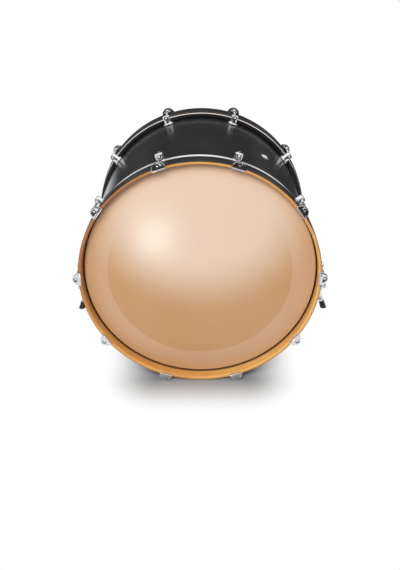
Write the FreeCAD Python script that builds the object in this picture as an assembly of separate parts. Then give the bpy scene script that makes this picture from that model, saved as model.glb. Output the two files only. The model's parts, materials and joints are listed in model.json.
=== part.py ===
import FreeCAD, Part
import math
import os

Vector = FreeCAD.Vector

# A bass drum lying on its side, all lengths in millimetres and angles in degrees.
# The drum's axis runs along Y, with the batter head at -Y and the front head at +Y.
# The origin is on the floor, under the middle of the shell.
# Angles around the drum are counted from its top towards +X.

# Shell: a plywood tube with a pointed bearing edge at each end and a lacquer skin
shell_diameter = 558.8
shell_depth = 406.4
shell_wall = 7.5
skin_thickness = 0.5
skin_setback = 6.0
edge_inset = 2.4
edge_fall = 2.0
glue_ring_thickness = 3.5
glue_ring_width = 22.0

# Head: a film with a collar, held in an aluminium flesh hoop
film_thickness = 0.3
film_clearance = 0.3
film_recess = 29.2
collar_spread = 1.0
collar_drop = 1.3
collar_straight = 3.5
flesh_clearance = 1.6
flesh_width = 10.6
flesh_depth = 14.5
flesh_round = 1.2
slot_inset = 1.2
slot_depth = 9.0
damping_ring_width = 48.2
damping_ring_thickness = 0.4
damping_ring_gap = 4.5

# Counterhoop: a maple ring with a thin black band let into its outside
hoop_clearance = 4.1
hoop_thickness = 8.5
hoop_depth = 38.0
hoop_front_round = 4.5
hoop_back_round = 1.6
band_thickness = 0.7
band_setback = 1.7

# Key rods: a square key head on a collar, then a plain shank that is threaded into the lug
lug_count = 10
rod_diameter = 5.9
rod_tail = 10.0
rod_point = 1.5
key_width = 6.3
key_height = 5.6
key_round = 0.6
collar_diameter = 9.0
collar_height = 2.0
collar_clearance = 0.35
seat_clearance = 0.3
running_clearance = 0.06

# Claws: an arched plate over the hoop's edge, with a boss that takes the rod's head
claw_width = 33.0
claw_cover = 6.7
claw_plate = 3.2
claw_round = 0.8
claw_rim = 1.2
boss_wall = 1.35
boss_clearance = 0.3
boss_length = 16.0
socket_depth = 9.7
skirt_width = 18.0
skirt_depth = 7.0
lip_bead_diameter = 3.6
lip_bead_inset = 1.9
pad_thickness = 1.0
pad_width = 28.0

# Lugs: a round turret on a flared foot, with a barrel nut across it
lug_setback = 69.0
lug_foot_diameter = 27.0
lug_foot_height = 1.6
lug_flare_height = 2.4
lug_post_diameter = 20.0
lug_cover = 0.8
lug_cap_rise = 1.8
lug_round = 0.9
nut_diameter = 8.4
nut_fit = 0.06
nut_overhang = 1.5
nut_flange_diameter = 11.4
nut_flange_thickness = 1.2
gasket_thickness = 1.0
gasket_margin = 0.5
gasket_fit = 0.05

# Screws and washers that hold the lugs and brackets from inside the shell
screw_diameter = 6.0
screw_grip = 9.0
screw_end_gap = 1.0
screw_head_diameter = 10.0
screw_head_height = 4.0
screw_hole_clearance = 0.3
thread_fit = 0.05
washer_diameter = 16.0
washer_thickness = 1.5

# Vent: a flanged eyelet through the shell with a ring nut inside
vent_angle = 36.0
vent_bore = 10.0
vent_tube_diameter = 13.6
vent_flange_diameter = 22.0
vent_flange_thickness = 2.0
vent_tail = 6.0
vent_nut_diameter = 20.0
vent_nut_thickness = 4.0
vent_hole_clearance = 0.2

# Spurs: two folding legs near the front head
spur_angle = 108.0
spur_tilt = 17.0
spur_setback = 84.0
bracket_length = 50.0
bracket_width = 40.0
bracket_thickness = 5.0
bracket_corner = 6.0
bracket_grip = 4.0
bracket_screw_inset = 7.0
pedestal_height = 22.0
hub_diameter = 28.0
hub_round = 1.5
hub_wall = 1.0
turn_clearance = 0.3
stud_diameter = 8.0
stud_grip = 14.0
stud_tail = 2.0
tube_diameter = 19.0
tube_length = 166.0
tube_bore_start = 14.0
tube_collar_diameter = 25.0
tube_collar_length = 22.0
leg_diameter = 14.0
leg_start = 60.0
leg_nut_diameter = 18.0
leg_nut_thickness = 4.0
leg_nut_gap = 3.0
foot_top_diameter = 15.2
foot_bottom_diameter = 18.0
foot_height = 24.0
foot_pin_diameter = 8.0
foot_pin_gap = 7.0
lock_diameter = 6.0
lock_bar_length = 28.0
lock_bar_width = 7.0
lock_bar_height = 11.0
lock_neck = 3.0
lock_round = 1.4
wing_nut_diameter = 14.0
wing_nut_height = 9.0
wing_span = 34.0
wing_thickness = 3.2
wing_height = 11.0
wing_rise = 3.0
wing_round = 1.2

# How far a cutting shape runs past what it cuts, and how closely an edge is matched
overrun = 20.0
edge_match = 0.02

# Radii and places that follow from the sizes above
shell_radius = shell_diameter / 2
ply_radius = shell_radius - skin_thickness
inner_radius = shell_radius - shell_wall
edge_radius = shell_radius - edge_inset
edge_slope = edge_radius - inner_radius
half_depth = shell_depth / 2
hoop_inner = shell_radius + hoop_clearance
hoop_radius = hoop_inner + hoop_thickness
axis_height = hoop_radius
film_under = half_depth + film_clearance
film_face = film_under + film_thickness
hoop_face = film_face + film_recess
hoop_back = hoop_face - hoop_depth
flesh_inner = shell_radius + flesh_clearance
flesh_outer = flesh_inner + flesh_width
flesh_back = hoop_back - flesh_depth
slot_radius = flesh_inner + slot_inset
rod_radius = rod_diameter / 2
collar_radius = collar_diameter / 2
socket_radius = collar_radius + collar_clearance
boss_radius = socket_radius + boss_wall
rod_circle = hoop_radius + boss_clearance + boss_radius
claw_back = hoop_face + pad_thickness
claw_face = claw_back + claw_plate
socket_floor = claw_face - socket_depth
lug_place = hoop_face - lug_setback
lug_seat = shell_radius + gasket_thickness
lug_post_radius = lug_post_diameter / 2
lug_top = rod_circle + nut_diameter / 2 + lug_cover + lug_cap_rise
nut_reach = lug_post_radius + nut_overhang
screw_radius = screw_diameter / 2
spur_place = hoop_face - spur_setback
bracket_screw_spacing = bracket_length - bracket_screw_inset * 2
spur_lean = math.radians(spur_angle - 90 + spur_tilt)
lug_angles = [(k + 0.5) * 360 / lug_count for k in range(lug_count)]

X = Vector(1, 0, 0)
Y = Vector(0, 1, 0)
Z = Vector(0, 0, 1)
drum_centre = Vector(0, 0, axis_height)


def ring(outer, inner, start, end):
    """A plain ring around the drum's axis, between two places along Y."""
    base = Vector(0, start, axis_height)
    solid = Part.makeCylinder(outer, end - start, base, Y)
    return solid.cut(Part.makeCylinder(inner, end - start, base, Y))


def turned(points):
    """A solid turned around the drum's axis from an outline of (radius, place along Y)."""
    corners = [Vector(r, y, axis_height) for r, y in points]
    face = Part.Face(Part.makePolygon(corners + corners[:1]))
    return face.revolve(drum_centre, Y, 360)


def strip(path, thickness):
    """The closed outline of a thin sheet that lies on the left of a path."""
    normals = []
    for (r0, y0), (r1, y1) in zip(path, path[1:]):
        length = math.hypot(r1 - r0, y1 - y0)
        normals.append(((y0 - y1) / length, (r1 - r0) / length))
    far_side = []
    for k, (r, y) in enumerate(path):
        before = normals[max(k - 1, 0)]
        after = normals[min(k, len(normals) - 1)]
        sum_r = before[0] + after[0]
        sum_y = before[1] + after[1]
        reach = thickness / (1 + before[0] * after[0] + before[1] * after[1])
        far_side.append((r + sum_r * reach, y + sum_y * reach))
    return path + far_side[::-1]


def round_edges(solid, radius, wanted):
    """Rounds the edges of a solid for which the test says yes."""
    edges = [edge for edge in solid.Edges if wanted(edge)]
    return solid.makeFillet(radius, edges)


def is_circle(edge):
    """Whether an edge is a circle, which the point at a dome's top is not."""
    return not edge.Degenerated and isinstance(edge.Curve, Part.Circle)


def round_rims(solid, radius, rims):
    """Rounds circular edges of a turned solid, each named by (radius, place along Y)."""

    def wanted(edge):
        if not is_circle(edge):
            return False
        r = edge.Curve.Radius
        y = edge.Curve.Center.y
        return any(abs(r - a) < edge_match and abs(y - b) < edge_match for a, b in rims)

    return round_edges(solid, radius, wanted)


def around(shape, angle):
    """A copy of a piece made at the drum's top, carried to an angle around the drum."""
    copy = shape.copy()
    copy.rotate(drum_centre, Y, angle)
    return copy


def at_end(shape, end):
    """A piece made at the front end, kept there (+1) or turned round to the batter end (-1)."""
    copy = shape.copy()
    if end < 0:
        copy.rotate(Vector(0, 0, 0), Z, 180)
    return copy


def at_height(radius, along=0, across=0):
    """A point above the drum's axis, by its distance from that axis."""
    return Vector(across, along, axis_height + radius)


def drum_rod(radius, low, high, along=0):
    """A round bar that stands on the drum's top, from one distance from the axis to another."""
    return Part.makeCylinder(radius, high - low, at_height(low, along), Z)


def side_bar(radius, height, start, end):
    """A round bar that lies along Y at a height above the drum's axis."""
    return Part.makeCylinder(radius, end - start, at_height(height, start), Y)


def seat_inside(radius):
    """How far from the axis a flat disc of this radius rests inside the shell."""
    return math.sqrt(inner_radius**2 - radius**2)


def save(name, shape):
    """Writes one named piece and prints how many solids it has."""
    shape.exportStep("parts/" + name + ".step")
    print(name, len(shape.Solids), "solid(s)", round(shape.Volume), "mm3")


os.makedirs("parts", exist_ok=True)

# Film path: flat over the bearing edge, then down its collar into the flesh hoop's slot
film_path = [
    (0, film_under),
    (edge_radius, film_under),
    (shell_radius + collar_spread, film_under - collar_drop),
    (slot_radius, hoop_back + collar_straight),
    (slot_radius, hoop_back - slot_depth),
]
film = turned(strip(film_path, film_thickness))
flesh_hoop = round_rims(
    ring(flesh_outer, flesh_inner, flesh_back, hoop_back),
    flesh_round,
    [(flesh_outer, flesh_back), (flesh_outer, hoop_back)],
).cut(film)
damping_ring = ring(
    edge_radius - damping_ring_gap,
    edge_radius - damping_ring_gap - damping_ring_width,
    film_under - damping_ring_thickness,
    film_under,
)

# Counterhoop with its rebate for the black band
band_radius = hoop_radius - band_thickness
band_front = hoop_face - band_setback
hoop = turned(
    [
        (hoop_inner, hoop_back),
        (band_radius, hoop_back),
        (band_radius, band_front),
        (hoop_radius, band_front),
        (hoop_radius, hoop_face),
        (hoop_inner, hoop_face),
    ]
)
hoop = round_rims(hoop, hoop_front_round, [(hoop_inner, hoop_face)])
hoop = round_rims(hoop, hoop_back_round, [(hoop_inner, hoop_back)])
hoop = round_rims(hoop, band_setback / 2, [(hoop_radius, hoop_face)])
hoop_band = ring(hoop_radius, band_radius, hoop_back, band_front)


def make_claw():
    """One claw at the top of the front end."""
    end_radius = boss_radius + claw_rim
    lip = hoop_radius - claw_cover
    half_width = claw_width / 2
    # An arch: a half circle from side to side that ends just past the boss
    top = rod_circle + end_radius
    spring = top - half_width
    corners = [
        at_height(spring, claw_back, -half_width),
        at_height(lip, claw_back, -half_width),
        at_height(lip, claw_back, half_width),
        at_height(spring, claw_back, half_width),
    ]
    end = at_height(top, claw_back)
    sides = [Part.makeLine(a, b) for a, b in zip(corners, corners[1:])]
    arc = Part.Arc(corners[-1], end, corners[0]).toShape()
    plate = Part.Face(Part.Wire(sides + [arc])).extrude(Y * claw_plate)

    def on_front(edge):
        return all(abs(v.Y - claw_face) < edge_match for v in edge.Vertexes)

    plate = round_edges(plate, claw_round, on_front)
    bead_length = claw_width - lip_bead_diameter
    bead = Part.makeCylinder(
        lip_bead_diameter / 2,
        bead_length,
        at_height(lip + lip_bead_inset, claw_face, -bead_length / 2),
        X,
    )
    for side in (-1, 1):
        tip = at_height(lip + lip_bead_inset, claw_face, side * bead_length / 2)
        bead = bead.fuse(Part.makeSphere(lip_bead_diameter / 2, tip))
    boss = side_bar(boss_radius, rod_circle, hoop_face - boss_length, claw_back)
    skirt = Part.makeBox(
        skirt_width,
        skirt_depth + pad_thickness,
        boss_radius,
        at_height(hoop_radius + boss_clearance, hoop_face - skirt_depth, -skirt_width / 2),
    )
    claw = plate.fuse([bead, boss, skirt]).removeSplitter()
    claw = claw.cut(side_bar(socket_radius, rod_circle, socket_floor, claw_face + overrun))
    bore = rod_radius + running_clearance
    return claw.cut(side_bar(bore, rod_circle, hoop_face - boss_length - overrun, claw_face))


def make_claw_pad():
    """The liner between a claw's plate and the hoop's edge."""
    lip = hoop_radius - claw_cover
    pad = Part.makeBox(
        pad_width,
        pad_thickness,
        claw_cover,
        at_height(lip, hoop_face, -pad_width / 2),
    )
    return pad


def make_rod():
    """One key rod at the top of the front end."""
    collar_back = socket_floor + seat_clearance
    key_back = collar_back + collar_height
    tail = lug_place - nut_reach - rod_tail
    key = Part.makeBox(
        key_width,
        key_height,
        key_width,
        at_height(rod_circle - key_width / 2, key_back, -key_width / 2),
    )
    key_face = key_back + key_height

    def on_key_face(edge):
        return all(abs(v.Y - key_face) < edge_match for v in edge.Vertexes)

    key = round_edges(key, key_round, on_key_face)
    collar = side_bar(collar_radius, rod_circle, collar_back, key_back)
    shank = side_bar(rod_radius, rod_circle, tail + rod_point, collar_back)
    point = Part.makeCone(
        rod_radius - rod_point / 2,
        rod_radius,
        rod_point,
        at_height(rod_circle, tail),
        Y,
    )
    return key.fuse([collar, shank, point]).removeSplitter()


def make_lug():
    """One turret lug at the top of the front end."""
    foot_radius = lug_foot_diameter / 2
    foot_top = lug_seat + lug_foot_height
    flare_top = foot_top + lug_flare_height
    rim = lug_top - lug_cap_rise
    dome_radius = (lug_post_radius**2 + lug_cap_rise**2) / (2 * lug_cap_rise)
    mid = lug_post_radius / 2
    mid_height = lug_top - dome_radius + math.sqrt(dome_radius**2 - mid**2)
    corners = [
        at_height(lug_top, lug_place),
        at_height(lug_seat, lug_place),
        at_height(lug_seat, lug_place, foot_radius),
        at_height(foot_top, lug_place, foot_radius),
        at_height(flare_top, lug_place, lug_post_radius),
        at_height(rim, lug_place, lug_post_radius),
    ]
    sides = [Part.makeLine(a, b) for a, b in zip(corners, corners[1:])]
    dome = Part.Arc(corners[-1], at_height(mid_height, lug_place, mid), corners[0]).toShape()
    lug = Part.Face(Part.Wire(sides + [dome])).revolve(corners[0], Z, 360)

    def on_rim(edge):
        if not is_circle(edge):
            return False
        return abs(edge.Curve.Center.z - axis_height - rim) < edge_match

    lug = round_edges(lug, lug_round, on_rim)
    barrel = nut_diameter / 2 + nut_fit
    lug = lug.cut(side_bar(barrel, rod_circle, lug_place - overrun, lug_place + overrun))
    hole = screw_radius + thread_fit
    return lug.cut(drum_rod(hole, lug_seat - overrun, lug_seat + screw_grip, lug_place))


def make_nut():
    """The barrel nut that lies across a lug, with its flange on the far side from the claw."""
    nut_radius = nut_diameter / 2
    flange_front = lug_place - lug_post_radius - nut_fit
    flange_back = flange_front - nut_flange_thickness
    barrel = side_bar(nut_radius, rod_circle, flange_back, lug_place + nut_reach)
    flange = side_bar(nut_flange_diameter / 2, rod_circle, flange_back, flange_front)
    nut = barrel.fuse(flange).removeSplitter()
    bore = rod_radius + running_clearance
    return nut.cut(side_bar(bore, rod_circle, flange_back - overrun, lug_place + overrun))


def make_gasket(length, width, along, round_shape):
    """A thin gasket whose top is flat and whose underside follows the shell."""
    low = shell_radius - width
    if round_shape:
        blank = drum_rod(width / 2, low, lug_seat, along)
    else:
        corner = at_height(low, along - length / 2, -width / 2)
        blank = Part.makeBox(width, length, lug_seat - low, corner)
    start = along - length
    shell_space = side_bar(shell_radius + gasket_fit, 0, start, along + length)
    return blank.cut(shell_space)


def make_screw(grip, along):
    """A screw put in from inside the shell, at the drum's top."""
    washer_top = seat_inside(washer_diameter / 2)
    washer_bottom = washer_top - washer_thickness
    head_bottom = washer_bottom - screw_head_height
    head = drum_rod(screw_head_diameter / 2, head_bottom, washer_bottom, along)
    shank = drum_rod(screw_radius, washer_bottom, lug_seat + grip, along)
    return head.fuse(shank).removeSplitter()


def make_washer(along):
    """The washer under such a screw's head."""
    top = seat_inside(washer_diameter / 2)
    bottom = top - washer_thickness
    disc = drum_rod(washer_diameter / 2, bottom, top, along)
    return disc.cut(drum_rod(screw_radius + thread_fit, bottom, top, along))


claw = make_claw()
claw_pad = make_claw_pad()
rod = make_rod()
lug = make_lug()
nut = make_nut()
gasket_size = lug_foot_diameter + gasket_margin * 2
screw_hole = screw_radius + screw_hole_clearance
lug_gasket = make_gasket(gasket_size, gasket_size, lug_place, True)
lug_gasket = lug_gasket.cut(drum_rod(screw_hole, 0, lug_top, lug_place))
lug_screw = make_screw(screw_grip - screw_end_gap, lug_place)
lug_washer = make_washer(lug_place)

# Spur bracket, built at the drum's top before it is carried round to its angle
pivot_axis = Vector(-math.sin(spur_lean), 0, math.cos(spur_lean))
leg_axis = Vector(math.cos(spur_lean), 0, math.sin(spur_lean))
spur_base = at_height(lug_seat, spur_place)
hub_radius = hub_diameter / 2
hub_height = tube_diameter + hub_wall * 2
hub_bottom = pedestal_height + turn_clearance
hub_top = hub_bottom + hub_height
hub_middle = hub_bottom + hub_height / 2
stud_radius = stud_diameter / 2
tube_radius = tube_diameter / 2
leg_radius = leg_diameter / 2
tube_bore = leg_radius + running_clearance
lock_radius = lock_diameter / 2
lock_place = tube_length - tube_collar_length / 2
tube_start = spur_base + pivot_axis * hub_middle


def along_pivot(radius, start, end):
    """A round bar along the folding axis of the spur."""
    return Part.makeCylinder(radius, end - start, spur_base + pivot_axis * start, pivot_axis)


def along_leg(radius, start, end):
    """A round bar along the leg, counted from the folding axis."""
    return Part.makeCylinder(radius, end - start, tube_start + leg_axis * start, leg_axis)


def across_leg(radius, place, start, end):
    """A round bar square to the leg, on the side away from the shell."""
    foot = tube_start + leg_axis * place + pivot_axis * start
    return Part.makeCylinder(radius, end - start, foot, pivot_axis)


def blade(place, low, length, width, height):
    """A flat bar lying along Y across the folding axis, or across an axis beside it."""
    corner = place + pivot_axis * low - Y * (length / 2) - leg_axis * (width / 2)
    along = Y * length
    across = leg_axis * width
    points = [corner, corner + along, corner + along + across, corner + across, corner]
    return Part.Face(Part.makePolygon(points)).extrude(pivot_axis * height)


def round_blade(bar, radius):
    """Rounds the edges of a flat bar that run along the axis it turns on."""

    def wanted(edge):
        run = edge.Vertexes[1].Point - edge.Vertexes[0].Point
        return run.cross(pivot_axis).Length < edge_match

    return round_edges(bar, radius, wanted)


plate_corner = at_height(lug_seat, spur_place - bracket_length / 2, -bracket_width / 2)
bracket = Part.makeBox(bracket_width, bracket_length, bracket_thickness, plate_corner)


def upright(edge):
    run = edge.Vertexes[1].Point - edge.Vertexes[0].Point
    return run.cross(Z).Length < edge_match


bracket = round_edges(bracket, bracket_corner, upright)
sunk = hub_radius * math.tan(spur_lean) + overrun
pedestal = along_pivot(hub_radius, -sunk, pedestal_height)
below = Part.makeBox(
    overrun * 4 + sunk * 4,
    overrun * 4 + hub_diameter,
    overrun * 4 + sunk * 4,
    Vector(
        -overrun * 2 - sunk * 2,
        spur_place - overrun * 2 - hub_radius,
        axis_height + lug_seat - overrun * 4 - sunk * 4,
    ),
)
bracket = bracket.fuse(pedestal.cut(below)).removeSplitter()
bracket = bracket.cut(along_pivot(stud_radius, pedestal_height - stud_grip, hub_top))
stud_top = hub_top + turn_clearance + wing_nut_height + stud_tail
stud = along_pivot(stud_radius, pedestal_height - stud_grip, stud_top)
bracket_screws = []
bracket_washers = []
bracket_gasket = make_gasket(bracket_length, bracket_width, spur_place, False)
for side in (-1, 1):
    place = spur_place + side * bracket_screw_spacing / 2
    bracket_screws.append(make_screw(bracket_grip - screw_end_gap, place))
    bracket_washers.append(make_washer(place))
    hole = drum_rod(screw_radius + thread_fit, 0, lug_seat + bracket_grip, place)
    bracket = bracket.cut(hole)
    bracket_gasket = bracket_gasket.cut(drum_rod(screw_hole, 0, lug_top, place))

# Folding tube: a hub on the stud, the outer tube and a clamping collar at its end
hub = round_edges(along_pivot(hub_radius, hub_bottom, hub_top), hub_round, is_circle)
outer_tube = along_leg(tube_radius, 0, tube_length)
collar_start = tube_length - tube_collar_length
tube_collar = along_leg(tube_collar_diameter / 2, collar_start, tube_length)
tube_collar = round_edges(tube_collar, hub_round, is_circle)
spur_tube = hub.fuse([outer_tube, tube_collar]).removeSplitter()
spur_tube = spur_tube.cut(along_leg(tube_bore, tube_bore_start, tube_length + overrun))
spur_tube = spur_tube.cut(along_pivot(stud_radius + running_clearance, 0, hub_top + overrun))
lock_hole = across_leg(lock_radius + running_clearance, lock_place, 0, tube_collar_diameter)
spur_tube = spur_tube.cut(lock_hole)

# Leg and rubber foot, long enough to reach the floor at the spur's angle
drop_angle = math.radians(spur_angle) - spur_lean
turn = math.radians(spur_angle)
start_height = tube_start.z - axis_height
floor_drop = axis_height - tube_start.x * math.sin(turn) + start_height * math.cos(turn)
leg_reach = floor_drop / math.sin(drop_angle)
foot_start = leg_reach - foot_height
leg = along_leg(leg_radius, leg_start, foot_start)
pin = along_leg(foot_pin_diameter / 2, foot_start, leg_reach - foot_pin_gap)
nut_end = foot_start - leg_nut_gap
leg_nut = along_leg(leg_nut_diameter / 2, nut_end - leg_nut_thickness, nut_end)
leg = leg.fuse([pin, leg_nut]).removeSplitter()
foot = Part.makeCone(
    foot_top_diameter / 2,
    foot_bottom_diameter / 2,
    foot_height,
    tube_start + leg_axis * foot_start,
    leg_axis,
)
foot = foot.fuse(along_leg(foot_bottom_diameter / 2, leg_reach, leg_reach + foot_height))
foot = foot.removeSplitter().cut(pin)

# Lock screw in the collar and wing nut on the stud
lock_base = tube_start + leg_axis * lock_place
lock_bottom = leg_radius + turn_clearance
bar_bottom = tube_collar_diameter / 2 + lock_neck
lock_shank = across_leg(lock_radius, lock_place, lock_bottom, bar_bottom)
lock_bar = blade(lock_base, bar_bottom, lock_bar_length, lock_bar_width, lock_bar_height)
lock = lock_shank.fuse(round_blade(lock_bar, lock_round)).removeSplitter()
nut_bottom = hub_top + turn_clearance
wing_body = along_pivot(wing_nut_diameter / 2, nut_bottom, nut_bottom + wing_nut_height)
wing_bar = blade(spur_base, nut_bottom + wing_rise, wing_span, wing_thickness, wing_height)
wing_nut = wing_body.fuse(round_blade(wing_bar, wing_round)).removeSplitter()
wing_nut = wing_nut.cut(along_pivot(stud_radius + running_clearance, 0, stud_top + overrun))


def right_spur(shape):
    """A spur piece carried from the drum's top to its place on the right."""
    return around(shape, spur_angle)


def left_spur(shape):
    """The same piece turned about the upright line to the left side."""
    copy = around(shape, spur_angle)
    copy.rotate(Vector(0, spur_place, 0), Z, 180)
    return copy


floor_size = (hoop_radius + leg_reach) * 2
under_floor = Part.makeBox(
    floor_size,
    floor_size,
    foot_height * 2,
    Vector(-floor_size / 2, -floor_size / 2, -foot_height * 2),
)

# Vent eyelet and its ring nut
vent_radius = vent_bore / 2
vent_tube = vent_tube_diameter / 2
vent_low = inner_radius - vent_tail
vent_top = shell_radius + vent_flange_thickness
eyelet = drum_rod(vent_flange_diameter / 2, shell_radius - vent_flange_diameter, vent_top)
eyelet = eyelet.cut(side_bar(shell_radius, 0, -vent_flange_diameter, vent_flange_diameter))
eyelet = eyelet.fuse(drum_rod(vent_tube, vent_low, vent_top)).removeSplitter()
eyelet = eyelet.cut(drum_rod(vent_radius, vent_low, vent_top))
vent_nut_top = seat_inside(vent_nut_diameter / 2)
vent_nut_low = vent_nut_top - vent_nut_thickness
vent_nut = drum_rod(vent_nut_diameter / 2, vent_nut_low, vent_nut_top)
vent_nut = vent_nut.cut(drum_rod(vent_tube + thread_fit, vent_nut_low, vent_nut_top))

# Shell, its skin and the holes through both
holes = []
for end in (-1, 1):
    for angle in lug_angles:
        drilled = drum_rod(screw_hole, inner_radius - overrun, lug_seat, end * lug_place)
        holes.append(around(drilled, angle))
for side in (-1, 1):
    place = spur_place + side * bracket_screw_spacing / 2
    drilled = drum_rod(screw_hole, inner_radius - overrun, lug_seat, place)
    holes.append(right_spur(drilled))
    holes.append(left_spur(drilled))
vent_hole = drum_rod(vent_tube + vent_hole_clearance, inner_radius - overrun, lug_seat)
holes.append(around(vent_hole, vent_angle))

shell = turned(
    [
        (inner_radius, edge_slope - half_depth),
        (edge_radius, -half_depth),
        (ply_radius, edge_fall - half_depth),
        (ply_radius, half_depth - edge_fall),
        (edge_radius, half_depth),
        (inner_radius, half_depth - edge_slope),
    ]
).cut(holes)
skin_end = half_depth - skin_setback
skin = ring(shell_radius, ply_radius, -skin_end, skin_end).cut(holes)
ring_start = half_depth - edge_slope
glue_ring = turned(
    [
        (inner_radius, ring_start),
        (inner_radius, ring_start - glue_ring_width),
        (inner_radius - glue_ring_thickness, ring_start - glue_ring_width),
        (inner_radius - glue_ring_thickness, ring_start - glue_ring_thickness),
    ]
)


def circle_of(shape, end):
    """Copies of a piece at every lug's angle, at one end of the drum."""
    placed = at_end(shape, end)
    return [around(placed, angle) for angle in lug_angles]


save("shell_ply", shell)
save("shell_skin", skin)
save("glue_rings", Part.makeCompound([at_end(glue_ring, end) for end in (-1, 1)]))
save("swivel_nuts", Part.makeCompound(circle_of(nut, -1) + circle_of(nut, 1)))
save("lug_gaskets", Part.makeCompound(circle_of(lug_gasket, -1) + circle_of(lug_gasket, 1)))
save("lug_screws", Part.makeCompound(circle_of(lug_screw, -1) + circle_of(lug_screw, 1)))
bracket_discs = [place(w) for w in bracket_washers for place in (right_spur, left_spur)]
lug_discs = circle_of(lug_washer, -1) + circle_of(lug_washer, 1)
save("screw_washers", Part.makeCompound(lug_discs + bracket_discs))
save("vent_grommet", around(eyelet, vent_angle))
save("vent_nut", around(vent_nut, vent_angle))

for end, name in ((-1, "batter"), (1, "front")):
    save(name + "_hoop", at_end(hoop, end))
    save(name + "_hoop_band", at_end(hoop_band, end))
    save(name + "_film", at_end(film, end))
    save(name + "_flesh_hoop", at_end(flesh_hoop, end))
    save(name + "_claws", Part.makeCompound(circle_of(claw, end)))
    save(name + "_claw_pads", Part.makeCompound(circle_of(claw_pad, end)))
    save(name + "_lugs", Part.makeCompound(circle_of(lug, end)))
    for number, one_rod in enumerate(circle_of(rod, end), start=1):
        save("%s_rod_%02d" % (name, number), one_rod)
save("damping_ring", at_end(damping_ring, -1))

both_sides = (right_spur, left_spur)
save("spur_brackets", Part.makeCompound([place(bracket) for place in both_sides]))
save("spur_gaskets", Part.makeCompound([place(bracket_gasket) for place in both_sides]))
save("spur_pivots", Part.makeCompound([place(stud) for place in both_sides]))
save("spur_screws", Part.makeCompound([place(s) for s in bracket_screws for place in both_sides]))
for place, name in ((right_spur, "right"), (left_spur, "left")):
    save(name + "_spur_tube", place(spur_tube))
    save(name + "_spur_leg", place(leg))
    save(name + "_spur_foot", place(foot).cut(under_floor))
    save(name + "_spur_lock", place(lock))
    save(name + "_spur_wing_nut", place(wing_nut))
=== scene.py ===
# %% [markdown]
# # A bass drum with its batter head
# The drum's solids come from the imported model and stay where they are. This lesson gives each of them a
# finish, remakes the pieces whose real surface is richer than a plain solid, and sets up a studio with
# the camera of the photograph.

# %% Load the fixed frame
import json
import math
import bmesh
import bpy
from mathutils import Matrix, Vector


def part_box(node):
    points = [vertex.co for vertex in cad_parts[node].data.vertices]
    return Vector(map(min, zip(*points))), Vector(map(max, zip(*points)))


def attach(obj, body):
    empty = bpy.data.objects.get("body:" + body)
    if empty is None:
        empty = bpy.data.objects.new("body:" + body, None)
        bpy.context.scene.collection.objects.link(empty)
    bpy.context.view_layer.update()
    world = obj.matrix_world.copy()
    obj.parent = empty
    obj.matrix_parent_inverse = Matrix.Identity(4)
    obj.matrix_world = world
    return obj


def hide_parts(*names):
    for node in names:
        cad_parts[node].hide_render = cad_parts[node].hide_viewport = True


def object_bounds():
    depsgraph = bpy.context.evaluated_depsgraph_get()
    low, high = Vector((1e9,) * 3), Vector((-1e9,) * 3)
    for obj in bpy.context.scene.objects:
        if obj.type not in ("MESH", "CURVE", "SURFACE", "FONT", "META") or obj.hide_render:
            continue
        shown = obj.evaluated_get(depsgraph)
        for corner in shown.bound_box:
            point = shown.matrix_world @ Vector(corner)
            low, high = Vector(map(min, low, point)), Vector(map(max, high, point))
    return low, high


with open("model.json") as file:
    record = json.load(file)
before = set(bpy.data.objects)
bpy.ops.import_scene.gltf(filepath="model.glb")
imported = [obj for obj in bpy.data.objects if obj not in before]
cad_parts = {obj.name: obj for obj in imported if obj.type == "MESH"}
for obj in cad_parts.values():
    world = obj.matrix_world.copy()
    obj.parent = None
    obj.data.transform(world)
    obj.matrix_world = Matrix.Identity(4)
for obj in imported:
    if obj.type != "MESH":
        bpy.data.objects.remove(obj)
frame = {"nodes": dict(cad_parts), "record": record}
cad_low, cad_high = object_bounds()
print("box from", tuple(round(v, 4) for v in cad_low), "to", tuple(round(v, 4) for v in cad_high))

# %% [markdown]
# ## The camera
# The two hoops are circles of known size, so their outlines in the photograph fix where the camera stood:
# a little to the right of the drum, about 1.6 m in front of the batter hoop and 1.1 m up, looking down by
# 27 degrees. It could be turned by eye until the picture fits, but a fitted camera also tells where each
# claw is. The lens is set for the long side of the frame. The last turn about the drum's axis lines the
# claws up. The drum lies on its hoops, so half the height of the solids' box is its radius.

# %% Place the camera
MM = 0.001
DRUM_RADIUS = round((cad_high[2] - cad_low[2]) / 2, 6)
frame_long_side = 570.0
focal_pixels = 758.4
camera_place = Vector((0.0188, -1.8525, 1.1170))
camera_pitch = 27.48
camera_yaw = 0.655
claw_turn = 0.575
axis_shift = Matrix.Translation((0, 0, DRUM_RADIUS))


def round_drum(angle):
    """The turn about the drum's axis that carries a thing from the top to an angle around it."""
    return axis_shift @ Matrix.Rotation(angle, 4, "Y") @ axis_shift.inverted()


camera_data = bpy.data.cameras.new("photo_camera")
camera_data.sensor_fit = "AUTO"
camera_data.sensor_width = 36.0
camera_data.lens = focal_pixels * camera_data.sensor_width / frame_long_side
camera = bpy.data.objects.new("photo_camera", camera_data)
bpy.context.scene.collection.objects.link(camera)
tilt = Matrix.Rotation(math.radians(90 - camera_pitch), 4, "X")
aim = Matrix.Rotation(math.radians(camera_yaw), 4, "Z") @ tilt
camera.matrix_world = round_drum(math.radians(claw_turn)) @ Matrix.Translation(camera_place) @ aim
bpy.context.scene.camera = camera
camera_at = [round(v, 3) for v in camera.matrix_world.translation]
print("lens", round(camera_data.lens, 2), "mm, camera at", camera_at)

# %% [markdown]
# ## Node trees
# The room, the floor and every finish are node trees. Written out node by node they would be long, so one
# small class holds the few ways in which this file adds nodes: a sum, a range, a colour ramp and a mix.


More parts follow.
